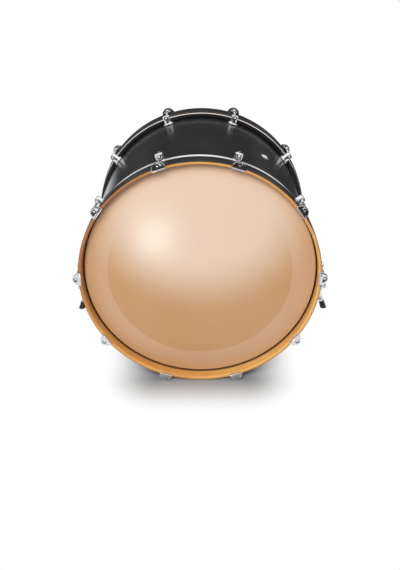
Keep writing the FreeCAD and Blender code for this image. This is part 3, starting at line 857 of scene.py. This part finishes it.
# %% Films, flesh hoops and counterhoops
RING_STEPS = 240
along_drum = axis_shift @ Matrix.Rotation(-math.pi / 2, 4, "X")
drum_ends = (("batter", Matrix.Rotation(math.pi, 4, "Z")), ("front", Matrix.Identity(4)))
head_pieces = (
    ("film", film_outline, False),
    ("flesh_hoop", flesh_outline, True),
    ("hoop", hoop_outline, True),
    ("hoop_band", band_outline, True),
)
for part_name, outline, closed in head_pieces:
    turned = smooth(place(lathe(part_name, outline, RING_STEPS, closed), along_drum))
    for end_name, end in drum_ends:
        node = end_name + "_" + part_name
        piece = twin(turned, node + "_spun", end)
        dress(piece, end_name + "_head", slot_of[node], node)
    bpy.data.objects.remove(turned)

# %% [markdown]
# ## Bars, blocks and joints
# Cast pieces are built up from plain stock, as a pattern maker does it: bars and blocks are joined by
# Boolean modifiers, and holes are cut with bars. One cube could be divided and pulled into shape, but its
# sizes would be hard to hold. Stock is given in millimetres, between two points or two corners.


# %% Stock and joints
def settle(name):
    """Names the new primitive and bakes its place, turn and size into its mesh."""
    piece = bpy.context.object
    piece.name = name
    bpy.ops.object.transform_apply(location=True, rotation=True, scale=True)
    return piece


def round_off(width, segments):
    """Bevels the edges of what is selected by a width in millimetres."""
    bpy.ops.mesh.bevel(offset=width * MM, segments=segments, affect="EDGES")


def bar(name, radius, start, end, sides=40):
    """A round bar between two points."""
    bare()
    start, end = Vector(start) * MM, Vector(end) * MM
    run = end - start
    turn = run.to_track_quat("Z", "Y").to_euler()
    middle = (start + end) / 2
    bpy.ops.mesh.primitive_cylinder_add(
        vertices=sides, radius=radius * MM, depth=run.length, location=middle, rotation=turn
    )
    return settle(name)


def block(name, low, high, bevel=0):
    """A box between two corners, with its edges bevelled."""
    bare()
    low, high = Vector(low) * MM, Vector(high) * MM
    bpy.ops.mesh.primitive_cube_add(size=1, location=(low + high) / 2, scale=high - low)
    piece = settle(name)
    if bevel:
        edit(piece, "EDGE")
        bpy.ops.mesh.select_all(action="SELECT")
        round_off(bevel, segments=3)
    bare()
    return piece


def combine(piece, tool, operation):
    """Adds a tool shape to a piece (UNION) or takes it away (DIFFERENCE), and removes the tool."""
    only(piece)
    joint = piece.modifiers.new("combine", "BOOLEAN")
    joint.operation = operation
    joint.solver = "EXACT"
    joint.object = tool
    bpy.ops.object.modifier_apply(modifier=joint.name)
    bpy.data.objects.remove(tool)
    return piece


# %% [markdown]
# ## Claws
# A claw is a die-cast hook: an arched plate over the hoop's edge, a rolled lip, and a boss whose socket
# hides the rod's head. The plate starts as a circle. Its lower half is deleted, the two open ends are
# extruded down to the lip, and the outline is filled and given its thickness. A box with a Boolean arch
# would need more steps and leave a worse edge.

# %% The claw's arched plate
ROD_CIRCLE = 298.5
CLAW_HALF = 16.5
CLAW_SPRING = 289.4
CLAW_LIP = 285.3
CLAW_PLATE = 3.2
claw_back = along("front_claw_pads")[1]
claw_face = claw_back + CLAW_PLATE


def drum_top(x, y, r):
    """A point in metres, from millimetres across, along and out from the drum's axis."""
    return Vector((x * MM, y * MM, DRUM_RADIUS + r * MM))


def claw_plate():
    """The plate of a claw at the top of the front end."""
    bare()
    middle = drum_top(0, claw_back, CLAW_SPRING)
    upright = (math.pi / 2, 0, 0)
    bpy.ops.mesh.primitive_circle_add(vertices=64, radius=CLAW_HALF * MM, location=middle, rotation=upright)
    plate = settle("claw")
    edit(plate, "VERT")
    pick(plate, lambda v: v.co.z < middle.z - 0.01 * MM)
    bpy.ops.mesh.delete(type="VERT")
    for side in (-1, 1):
        pick(plate, lambda v: len(v.link_edges) == 1 and v.co.x * side > 0)
        draw_on(0, CLAW_LIP - CLAW_SPRING)
    pick(plate, lambda v: len(v.link_edges) == 1)
    bpy.ops.mesh.edge_face_add()
    bpy.ops.mesh.select_all(action="SELECT")
    bpy.ops.mesh.edge_face_add()
    bpy.ops.mesh.extrude_region_move(TRANSFORM_OT_translate={"value": (0, CLAW_PLATE * MM, 0)})
    bpy.ops.mesh.select_all(action="SELECT")
    bpy.ops.mesh.normals_make_consistent(inside=False)
    bpy.ops.mesh.select_mode(type="EDGE")
    pick(plate, lambda e: all(abs(v.co.y - claw_face * MM) < 1e-6 for v in e.verts))
    round_off(0.9, segments=4)
    bare()
    return plate


claw = claw_plate()
print("claw plate from", claw_back, "to", claw_face, "mm with", len(claw.data.polygons), "faces")

# %% [markdown]
# The rolled lip is a bar with rounded ends. The boss is a bar whose inner end is made smaller, and a
# skirt fills the corner between boss and plate, as the casting does. They are joined to the plate before
# the socket and the rod's hole are cut, so that the cuts go through all of it. The socket's rim is picked
# by its radius and bevelled.

# %% Lip, boss and socket
BEAD_RADIUS = 1.8
BEAD_HALF = 16.3
BEAD_RISE = 1.9
BOSS_RADIUS = 6.2
BOSS_TAPER = 0.84
BOSS_END = along("front_claws")[0]
BOSS_ROOT = 235.0
SKIRT_HALF = 9.0
SKIRT_END = 226.0
SKIRT_TOP = -0.6
SOCKET_RADIUS = 4.85
SOCKET_FLOOR = 227.5
ROD_HOLE = 3.01
CUT_END = 240.0
ROD_HEIGHT = BAND_OUTSIDE + ROD_CIRCLE


def claw_lip():
    """The rolled lip along the plate's lower edge."""
    height = BAND_OUTSIDE + CLAW_LIP + BEAD_RISE
    bead_ends = [(side * BEAD_HALF, claw_face, height) for side in (-1, 1)]
    bead = bar("bead", BEAD_RADIUS, *bead_ends, sides=24)
    edit(bead, "FACE")
    pick(bead, lambda f: abs(f.normal.x) > 0.99)
    round_off(1.5, segments=5)
    bare()
    return bead


def claw_boss():
    """The boss round the rod, smaller at its inner end."""
    boss = bar("boss", BOSS_RADIUS, (0, BOSS_END, ROD_HEIGHT), (0, BOSS_ROOT, ROD_HEIGHT), sides=48)
    edit(boss, "FACE")
    pick(boss, lambda f: f.normal.y < -0.9)
    end_middle = drum_top(0, BOSS_END, ROD_CIRCLE)
    bpy.ops.transform.resize(value=(BOSS_TAPER, 1, BOSS_TAPER), center_override=end_middle)
    round_off(0.9, segments=3)
    bare()
    return boss


def on_socket_rim(vertex):
    """Whether a vertex lies on the socket's rim in the claw's face."""
    in_face = abs(vertex.co.y - claw_face * MM) < 1e-5
    from_rod = (vertex.co - drum_top(0, claw_face, ROD_CIRCLE)).length
    return in_face and abs(from_rod - SOCKET_RADIUS * MM) < 2e-5


skirt_low = (-SKIRT_HALF, SKIRT_END, ROD_HEIGHT - BOSS_RADIUS)
skirt_high = (SKIRT_HALF, BOSS_ROOT, ROD_HEIGHT + SKIRT_TOP)
for shape in (claw_lip(), claw_boss(), block("skirt", skirt_low, skirt_high, bevel=1.2)):
    combine(claw, shape, "UNION")
for radius, start, sides in ((SOCKET_RADIUS, SOCKET_FLOOR, 40), (ROD_HOLE, 200.0, 32)):
    hole = bar("hole", radius, (0, start, ROD_HEIGHT), (0, CUT_END, ROD_HEIGHT), sides)
    combine(claw, hole, "DIFFERENCE")
edit(claw, "EDGE")
rim = pick(claw, lambda e: all(on_socket_rim(v) for v in e.verts))
round_off(0.5, segments=2)
smooth(claw, angle=35)
print("claw: socket rim of", rim, "edges")

# %% [markdown]
# Ten claws stand at even angles round each end. The one claw is copied to each angle, and the copies of
# an end are joined into one object, because they move together. An array modifier could repeat it, but
# copies keep the place of each claw plain to see.

# %% Ten claws at each end
LUG_COUNT = 10
lug_angles = [math.radians((k + 0.5) * 360 / LUG_COUNT) for k in range(LUG_COUNT)]


def joined(copies, name):
    """Several objects made one."""
    bare()
    for copy in copies:
        copy.select_set(True)
    bpy.context.view_layer.objects.active = copies[0]
    bpy.ops.object.join()
    copies[0].name = name
    return copies[0]


def ring_of(piece, name, end):
    """Ten copies of a piece at the lugs' angles, at one end of the drum, as one object."""
    return joined([twin(piece, name, round_drum(angle) @ end) for angle in lug_angles], name)


for end_name, end in drum_ends:
    dress(ring_of(claw, end_name + "_claw_set", end), end_name + "_head", "chrome", end_name + "_claws")
bpy.data.objects.remove(claw)

# %% [markdown]
# ## Lugs
# A turret lug is turned metal: a flared foot, a straight post and a domed cap, with the barrel nut across
# it. Stacked cylinders could be bevelled into it, but one outline holds all its curves, so that is spun,
# and the nut's bore is cut with a bar. Heights are measured from the lug's seat on the shell.

# %% One lug, then twenty
FITTING_SEAT = 280.4
LUG_PLACE = 164.0
LUG_FOOT = 13.5
LUG_POST = 10.0
LUG_HEIGHT = 24.9
NUT_BORE = 4.26
NUT_BORE_HALF = 16.0


def soften(piece, width, segments=2, angle=32):
    """Bevels the sharp edges of a piece by a width in millimetres."""
    only(piece)
    edge = piece.modifiers.new("soften", "BEVEL")
    edge.width = width * MM
    edge.segments = segments
    edge.limit_method = "ANGLE"
    edge.angle_limit = math.radians(angle)
    edge.harden_normals = False
    bpy.ops.object.modifier_apply(modifier=edge.name)
    return piece


lug_outline = rounded(
    [
        (0, 0), (LUG_FOOT, 0), (LUG_FOOT, 1.6, 0.7), (LUG_FOOT - 1.9, 2.0, 0.8), (LUG_POST + 0.3, 4.2, 1.6),
        (LUG_POST, 7.2, 1.2), (LUG_POST, 21.8, 0.9), (LUG_POST - 1.4, 23.1, 3.0), (LUG_POST / 2, 24.3, 6.0),
        (0, LUG_HEIGHT),
    ]
)
lug = place(lathe("lug", lug_outline, steps=64), Matrix.Translation(drum_top(0, LUG_PLACE, FITTING_SEAT)))
bore_ends = [(0, LUG_PLACE + side * NUT_BORE_HALF, ROD_HEIGHT) for side in (-1, 1)]
combine(lug, bar("nut_bore", NUT_BORE, *bore_ends), "DIFFERENCE")
smooth(soften(lug, width=0.35), angle=35)
for end_name, end in drum_ends:
    dress(ring_of(lug, end_name + "_lug_set", end), "shell", "chrome", end_name + "_lugs")
bpy.data.objects.remove(lug)

# %% [markdown]
# ## Key rods
# Each rod has a square head on a washer collar, a plain neck and a rolled thread, 24 turns to the inch. A
# thread could be left to bump, but it shows between claw and lug, so it is real: one pitch of its outline
# is wound up by the Screw modifier and closed at both ends.


# %% A thread
def make_thread(crest, depth, pitch, turns):
    """A closed threaded bar along Z that starts at the origin, in millimetres."""
    thread = start_point("thread", crest - depth, 0)
    for out, up_share in ((depth, 0.42), (0, 0.16), (-depth, 0.42)):
        draw_on(out, up_share * pitch)
    only(thread)
    wind = thread.modifiers.new("wind", "SCREW")
    wind.axis = "Z"
    wind.screw_offset = pitch * MM
    wind.steps = wind.render_steps = 20
    wind.iterations = turns
    wind.use_merge_vertices = True
    wind.merge_threshold = 1e-6
    bpy.ops.object.modifier_apply(modifier=wind.name)
    edit(thread, "EDGE")
    bpy.ops.mesh.select_all(action="SELECT")
    bpy.ops.mesh.remove_doubles(threshold=1e-6)
    bpy.ops.mesh.select_all(action="DESELECT")
    bpy.ops.mesh.select_non_manifold()
    bpy.ops.mesh.fill_holes(sides=0)
    bpy.ops.mesh.select_all(action="SELECT")
    bpy.ops.mesh.normals_make_consistent(inside=False)
    bare()
    return thread


ROD_RADIUS = 2.94
ROD_PITCH = 25.4 / 24
ROD_TURNS = 44
rod_start, rod_end = along("front_rod_01")
thread_start = Matrix.Translation((0, 0, (rod_start + 0.1) * MM))
rod_thread = make_thread(crest=ROD_RADIUS, depth=0.55, pitch=ROD_PITCH, turns=ROD_TURNS)
place(rod_thread, thread_start)
print("thread of", ROD_TURNS, "turns with", len(rod_thread.data.polygons), "faces")

# %% [markdown]
# The neck and the collar are turned, and the square head is a bevelled block. All three are joined to the
# thread along the Z axis, where they are easy to measure. Each of the twenty rods turns by itself, so
# each copy is a piece of its own.

# %% One rod, then twenty
NECK_START = 188.6
NECK_TAPER = 0.54
WASHER_START = 227.8
WASHER_END = 229.8
WASHER_RADIUS = 4.5
KEY_HALF = 3.15
KEY_START = WASHER_END - 0.8
rod_outline = rounded(
    [
        (0, NECK_START), (ROD_RADIUS - NECK_TAPER, NECK_START), (ROD_RADIUS, NECK_START + 1.0),
        (ROD_RADIUS, WASHER_START), (WASHER_RADIUS, WASHER_START, 0.3), (WASHER_RADIUS, WASHER_END, 0.5),
        (0, WASHER_END),
    ]
)
rod = lathe("rod", rod_outline, steps=40)
key_corners = (-KEY_HALF, -KEY_HALF, KEY_START), (KEY_HALF, KEY_HALF, rod_end)
key_head = block("key_head", *key_corners, bevel=0.55)
combine(rod, key_head, "UNION")
combine(rod, rod_thread, "UNION")
smooth(place(rod, Matrix.Translation((0, 0, ROD_CIRCLE * MM)) @ along_drum), angle=30)
for end_name, end in drum_ends:
    for number, angle in enumerate(lug_angles, start=1):
        node = "%s_rod_%02d" % (end_name, number)
        dress(twin(rod, node + "_threaded", round_drum(angle) @ end), node, "chrome", node)
bpy.data.objects.remove(rod)

# %% [markdown]
# ## Spurs
# Each side of the drum has a folding spur: a bracket with a slanted pedestal, a hub that turns on a stud,
# a tube with a clamping collar, and a leg that slides in it. All of it is modelled in the spur's own
# axes, with X down the leg and Z along the folding stud, because there each piece is straight. A matrix
# then carries it to the right side, and a half turn to the left.

# %% The spur's own axes
SPUR_ANGLE = math.radians(108.0)
SPUR_LEAN = math.radians(35.0)
SPUR_PLACE = 149.0
HUB_MIDDLE = 32.8
stud_angle = SPUR_ANGLE - SPUR_LEAN
outward = Vector((math.sin(SPUR_ANGLE), 0, math.cos(SPUR_ANGLE)))
pivot_axis = Vector((math.sin(stud_angle), 0, math.cos(stud_angle)))
leg_axis = Vector((0, 1, 0)).cross(pivot_axis)
spur_base = outward * FITTING_SEAT * MM + Vector((0, SPUR_PLACE * MM, DRUM_RADIUS))
right_frame = Matrix((leg_axis, (0, 1, 0), pivot_axis)).transposed().to_4x4()
right_frame.translation = spur_base
spur_shift = Matrix.Translation((0, SPUR_PLACE * MM, 0))
half_turn = spur_shift @ Matrix.Rotation(math.pi, 4, "Z") @ spur_shift.inverted()
drum_sides = (("right", Matrix.Identity(4)), ("left", half_turn))
down_leg = Matrix.Translation((0, 0, HUB_MIDDLE * MM)) @ Matrix.Rotation(math.pi / 2, 4, "Y")
print("spur base at", [round(v / MM, 2) for v in spur_base], "leg along", [round(v, 4) for v in leg_axis])


def both_sides(piece, part_name, part_body, slot):
    """Copies a piece that stands on the right to both sides, and removes it."""
    for side, turn in drum_sides:
        node = side + "_" + part_name
        dress(twin(piece, node + "_made", turn), side + "_" + part_body, slot, node)
    bpy.data.objects.remove(piece)


# %% [markdown]
# ### Brackets
# The bracket is a cast plate, screwed to the shell, with a pedestal that carries the folding stud. The
# plate is a cube whose upright edges are bevelled into round corners. The pedestal is turned, and bisect
# cuts its lower end along the plate, which is quicker than shaping a slanted foot.

# %% Brackets
BRACKET = Vector((40.0, 50.0, 5.0))
BRACKET_CORNER = 6.0
BRACKET_EDGE = 1.2
HUB_RADIUS = 14.0
PEDESTAL_START = -16.0
PEDESTAL_TOP = 22.0
PEDESTAL_SINK = 0.8
GROOVE_PLACE = 18.4
GROOVE_DEPTH = 0.8
STUD_HOLE = 4.02


def bracket_plate():
    """The plate, made at the drum's top and turned to the right spur."""
    bare()
    middle = drum_top(0, SPUR_PLACE, FITTING_SEAT + BRACKET.z / 2)
    bpy.ops.mesh.primitive_cube_add(size=1, location=middle, scale=BRACKET * MM)
    plate = settle("bracket")
    edit(plate, "EDGE")
    pick(plate, lambda e: abs(e.verts[0].co.z - e.verts[1].co.z) > BRACKET.z / 2 * MM)
    round_off(BRACKET_CORNER, segments=8)
    bpy.ops.mesh.select_mode(type="FACE")
    pick(plate, lambda f: f.normal.z > 0.99)
    round_off(BRACKET_EDGE, segments=4)
    return place(plate, round_drum(SPUR_ANGLE))


def bracket_pedestal():
    """The grooved pedestal, cut off along the plate."""
    floor_radius = HUB_RADIUS - GROOVE_DEPTH
    outline = [(0, PEDESTAL_START), (HUB_RADIUS, PEDESTAL_START), (HUB_RADIUS, GROOVE_PLACE - 1.0, 0.4)]
    outline += [(floor_radius, GROOVE_PLACE - 0.2, 0.3), (floor_radius, GROOVE_PLACE + 0.2, 0.3)]
    outline += [(HUB_RADIUS, GROOVE_PLACE + 1.0, 0.4), (HUB_RADIUS, PEDESTAL_TOP, 0.7), (0, PEDESTAL_TOP)]
    pedestal = place(lathe("pedestal", rounded(outline), steps=64), right_frame)
    edit(pedestal, "FACE")
    bpy.ops.mesh.select_all(action="SELECT")
    in_plate = spur_base + outward * PEDESTAL_SINK * MM
    bpy.ops.mesh.bisect(plane_co=in_plate, plane_no=outward, use_fill=True, clear_inner=True)
    bare()
    return pedestal


bracket = combine(bracket_plate(), bracket_pedestal(), "UNION")
stud_hole = place(bar("stud_hole", STUD_HOLE, (0, 0, 8), (0, 0, 30)), right_frame)
smooth(combine(bracket, stud_hole, "DIFFERENCE"))
brackets = [twin(bracket, "bracket_copy", turn) for side, turn in drum_sides]
dress(joined(brackets, "spur_bracket_pair"), "shell", "chrome", "spur_brackets")
bpy.data.objects.remove(bracket)

# %% [markdown]
# ### Tubes
# The tube is welded to the hub that turns on the stud, and a grooved collar near its end clamps the leg.
# A curve with a round bevel could make the tube, but not its collar. So tube and hub are turned on their
# own axes and joined, and the bores of the stud and the lock screw are cut with bars.

# %% Tubes and their hubs
HUB_START = 22.3
HUB_TOP = 43.3
DISH_RADIUS = 8.4
DISH_DEPTH = 0.6
TUBE_START = 2.0
TUBE_RADIUS = 9.5
TUBE_BORE = 7.06
TUBE_BORE_START = 14.0
LOCK_PLACE = 155.0
CLAMP_HALF = 11.0
CLAMP_RADIUS = 12.5
CLAMP_GROOVE = 0.6
STUD_BORE = 4.06
LOCK_BORE = 3.06
clamp_start = LOCK_PLACE - CLAMP_HALF
clamp_end = LOCK_PLACE + CLAMP_HALF
dish_floor = HUB_TOP - DISH_DEPTH
hub_corners = [(0, HUB_START), (HUB_RADIUS, HUB_START, 1.5), (HUB_RADIUS, HUB_TOP, 1.6)]
hub_corners += [(DISH_RADIUS, HUB_TOP), (DISH_RADIUS - 0.7, dish_floor), (0, dish_floor)]
hub = lathe("hub", rounded(hub_corners), steps=64)
tube_corners = [(0, TUBE_START), (TUBE_RADIUS, TUBE_START), (TUBE_RADIUS, clamp_start, 0.8)]
tube_corners += [(CLAMP_RADIUS, clamp_start, 1.5)]
for groove in (LOCK_PLACE - 6.0, LOCK_PLACE + 6.0):
    tube_corners += [(CLAMP_RADIUS, groove - CLAMP_GROOVE), (CLAMP_RADIUS - CLAMP_GROOVE, groove)]
    tube_corners += [(CLAMP_RADIUS, groove + CLAMP_GROOVE)]
tube_corners += [(CLAMP_RADIUS, clamp_end, 1.5), (TUBE_BORE, clamp_end, 0.6)]
tube_corners += [(TUBE_BORE, TUBE_BORE_START), (0, TUBE_BORE_START)]
tube = place(lathe("tube", rounded(tube_corners), steps=56), down_leg)
combine(tube, hub, "UNION")
combine(tube, bar("stud_bore", STUD_BORE, (0, 0, 15), (0, 0, 50)), "DIFFERENCE")
lock_bore_ends = [(LOCK_PLACE, 0, HUB_MIDDLE + out) for out in (5, 15)]
combine(tube, bar("lock_bore", LOCK_BORE, *lock_bore_ends, sides=32), "DIFFERENCE")
both_sides(place(smooth(tube), right_frame), "spur_tube", "spur", "chrome")

# %% [markdown]
# ### Legs
# The leg is a steel rod with a thread at its lower end, a lock nut on the thread and a pin that holds the
# foot. The thread could be cut out of the rod, but adding it is simpler: the rod is turned with a thinner
# stretch, the thread is joined over it, and the nut is a cylinder of six sides whose edges are bevelled.

# %% Legs with their threaded ends and lock nuts
LEG_TOP = 60.0
LEG_RADIUS = 7.0
LEG_PLAIN_END = 183.4
LEG_CORE = 6.3
LEG_END = 200.76
PIN_RADIUS = 4.0
PIN_END = LEG_END + 17.0
LOCK_NUT_RADIUS = 9.0
LOCK_NUT_HEIGHT = 4.0
LOCK_NUT_PLACE = LEG_END - 5.0
leg_outline = rounded(
    [
        (0, LEG_TOP), (LEG_RADIUS, LEG_TOP, 0.8), (LEG_RADIUS, LEG_PLAIN_END, 0.3),
        (LEG_CORE, LEG_PLAIN_END + 1.0), (LEG_CORE, LEG_END), (PIN_RADIUS, LEG_END),
        (PIN_RADIUS, PIN_END), (0, PIN_END),
    ]
)
leg = lathe("leg", leg_outline, steps=48)
leg_thread = make_thread(crest=LEG_RADIUS, depth=0.8, pitch=1.5, turns=10)
place(leg_thread, Matrix.Translation((0, 0, (LEG_PLAIN_END + 1.2) * MM)))
bare()
bpy.ops.mesh.primitive_cylinder_add(
    vertices=6,
    radius=LOCK_NUT_RADIUS * MM,
    depth=LOCK_NUT_HEIGHT * MM,
    location=(0, 0, LOCK_NUT_PLACE * MM),
)
nut = settle("lock_nut")
edit(nut, "EDGE")
bpy.ops.mesh.select_all(action="SELECT")
round_off(0.5, segments=3)
bare()
combine(leg, leg_thread, "UNION")
combine(leg, nut, "UNION")
both_sides(place(smooth(place(leg, down_leg), angle=30), right_frame), "spur_leg", "leg", "chrome")

# %% [markdown]
# ### Feet
# A rubber foot is a moulded cone with three grooves, worn flat where it stands. The cone's outline is
# worked out groove by groove and spun, and bisect cuts it along the floor. A bump could draw the grooves,
# but they show at the edge.

# %% Rubber feet
FOOT_GAP = 0.02
FOOT_TOP = 7.6
FOOT_SOLE = 9.0
FOOT_LENGTH = 24.0
FOOT_PAST_FLOOR = 246.0
FIRST_GROOVE = 205.6
GROOVE_STEP = 4.8
GROOVE_SINK = 0.9
foot_start = LEG_END + FOOT_GAP
pin_hole = PIN_RADIUS + FOOT_GAP
pin_floor = PIN_END + FOOT_GAP
foot_corners = [(0, pin_floor), (pin_hole, pin_floor), (pin_hole, foot_start)]
foot_corners += [(FOOT_TOP - 0.3, foot_start, 0.9)]
for k in range(3):
    groove = FIRST_GROOVE + k * GROOVE_STEP
    radius = FOOT_TOP + (groove - LEG_END) / FOOT_LENGTH * (FOOT_SOLE - FOOT_TOP)
    foot_corners += [(radius, groove - 1.3, 0.5), (radius - GROOVE_SINK, groove - 0.5, 0.3)]
    foot_corners += [(radius - GROOVE_SINK, groove + 0.5, 0.3), (radius + 0.1, groove + 1.3, 0.5)]
foot_corners += [(FOOT_SOLE - 0.2, 221.0, 1.0), (FOOT_SOLE, 226.0)]
foot_corners += [(FOOT_SOLE, FOOT_PAST_FLOOR), (0, FOOT_PAST_FLOOR)]
foot = place(lathe("foot", rounded(foot_corners, steps=4), steps=56), right_frame @ down_leg)
edit(foot, "FACE")
bpy.ops.mesh.select_all(action="SELECT")
bpy.ops.mesh.bisect(plane_co=(0, 0, 0), plane_no=(0, 0, 1), use_fill=True, clear_inner=True)
bare()
both_sides(smooth(foot, angle=40), "spur_foot", "leg", "black_rubber")

# %% [markdown]
# ### Lock screws
# The lock screw has an oval cross bar to turn it by hand, thin in the middle and thick at its ends. A
# stretched ball would have no such waist. So half of the bar's outline is drawn and mirrored, and the
# turned bar is stretched into an oval before it joins the screw.

# %% Lock screws
LOCK_TIP = 40.1
LOCK_TOP = 54.0
LOCK_RADIUS = 3.0
FLANGE_RADIUS = 4.6
GRIP_HEIGHT = 53.8
GRIP_OVAL = 1.5
grip_half = [(2.9, 0), (3.1, 6), (3.5, 11), (3.2, 12.6), (2.4, 13.7), (0, 14)]
grip_outline = [(radius, -out) for radius, out in reversed(grip_half[1:])] + grip_half
oval = Matrix.Diagonal((1, 1, GRIP_OVAL, 1))
grip_place = Matrix.Translation((LOCK_PLACE * MM, 0, GRIP_HEIGHT * MM)) @ oval
grip = place(lathe("grip", grip_outline, steps=40), grip_place @ Matrix.Rotation(math.pi / 2, 4, "X"))
lock_outline = rounded(
    [
        (0, LOCK_TIP), (LOCK_RADIUS, LOCK_TIP, 0.5), (LOCK_RADIUS, 45.9), (FLANGE_RADIUS, 46.2, 0.4),
        (FLANGE_RADIUS, 47.6, 0.4), (LOCK_RADIUS + 0.3, 49.6, 0.6), (LOCK_RADIUS, LOCK_TOP), (0, LOCK_TOP),
    ]
)
lock = place(lathe("lock", lock_outline, steps=40), Matrix.Translation((LOCK_PLACE * MM, 0, 0)))
combine(lock, grip, "UNION")
both_sides(place(smooth(lock, angle=40), right_frame), "spur_lock", "lock", "chrome")

# %% [markdown]
# ### Wing nuts
# A cast wing nut holds the hub on its stud: a turned cone with two round ears. The ears are short bars on
# necks, joined to the cone. Each could be bevelled first, but then their joints would stay sharp, so all
# edges are softened together, as a casting's are.

# %% Wing nuts
WING_SEAT = 43.6
WING_TOP = 52.6
WING_RADIUS = 7.0
WING_INSIDE = 3.0
EAR_RADIUS = 5.5
EAR_OUT = 11.5
EAR_HEIGHT = 52.1
EAR_HALF = 1.6
NECK_OUT = 3.6
NECK_HEIGHTS = (46.7, 52.4)
wing_corners = [(WING_INSIDE, WING_SEAT), (WING_RADIUS, WING_SEAT, 0.5), (WING_RADIUS, 46.2, 0.4)]
wing_corners += [(5.9, WING_TOP - 1.0, 0.8), (5.2, WING_TOP, 0.3), (WING_INSIDE, WING_TOP)]
wing_nut = lathe("wing_nut", rounded(wing_corners, closed=True), steps=48, closed=True)
for side in (-1, 1):
    ear_ends = [(across, side * EAR_OUT, EAR_HEIGHT) for across in (-EAR_HALF, EAR_HALF)]
    near, far = sorted((side * NECK_OUT, side * EAR_OUT))
    neck = block("neck", (-EAR_HALF, near, NECK_HEIGHTS[0]), (EAR_HALF, far, NECK_HEIGHTS[1]))
    combine(wing_nut, combine(bar("ear", EAR_RADIUS, *ear_ends), neck, "UNION"), "UNION")
combine(wing_nut, bar("stud_bore", STUD_BORE, (0, 0, 40), (0, 0, 60)), "DIFFERENCE")
soften(wing_nut, width=0.5, angle=40)
both_sides(place(smooth(wing_nut, angle=35), right_frame), "spur_wing_nut", "wing_nut", "chrome")

# %% [markdown]
# ## The vent
# Air leaves the drum through an eyelet in the shell: a short sleeve with a half-round rim, turned from
# one outline. A torus on a tube would look alike, but then the two would only touch. The rim's arc is
# worked out by a formula.

# %% The vent's eyelet
VENT_ANGLE = math.radians(36.0)
SLEEVE_INSIDE = 5.0
SLEEVE_OUTSIDE = 6.8
SLEEVE_START = 265.9
RIM_SEAT = 279.1
RIM_BASE = 279.2
RIM_MIDDLE = 8.0
RIM_HALF = 3.0
RIM_RISE = 2.2
RIM_STEP = 15
sleeve = [(SLEEVE_INSIDE, SLEEVE_START), (SLEEVE_OUTSIDE, SLEEVE_START, 0.3), (SLEEVE_OUTSIDE, RIM_SEAT)]
eyelet_outline = rounded([*sleeve, (RIM_MIDDLE + RIM_HALF, RIM_SEAT + 0.05)])
for degrees in range(0, 181, RIM_STEP):
    over = math.radians(degrees)
    eyelet_outline.append((RIM_MIDDLE + RIM_HALF * math.cos(over), RIM_BASE + RIM_RISE * math.sin(over)))
eyelet = lathe("vent_eyelet", eyelet_outline, steps=64, closed=True)
place(eyelet, round_drum(VENT_ANGLE) @ axis_shift)
dress(smooth(eyelet), "shell", slot_of["vent_grommet"], "vent_grommet")
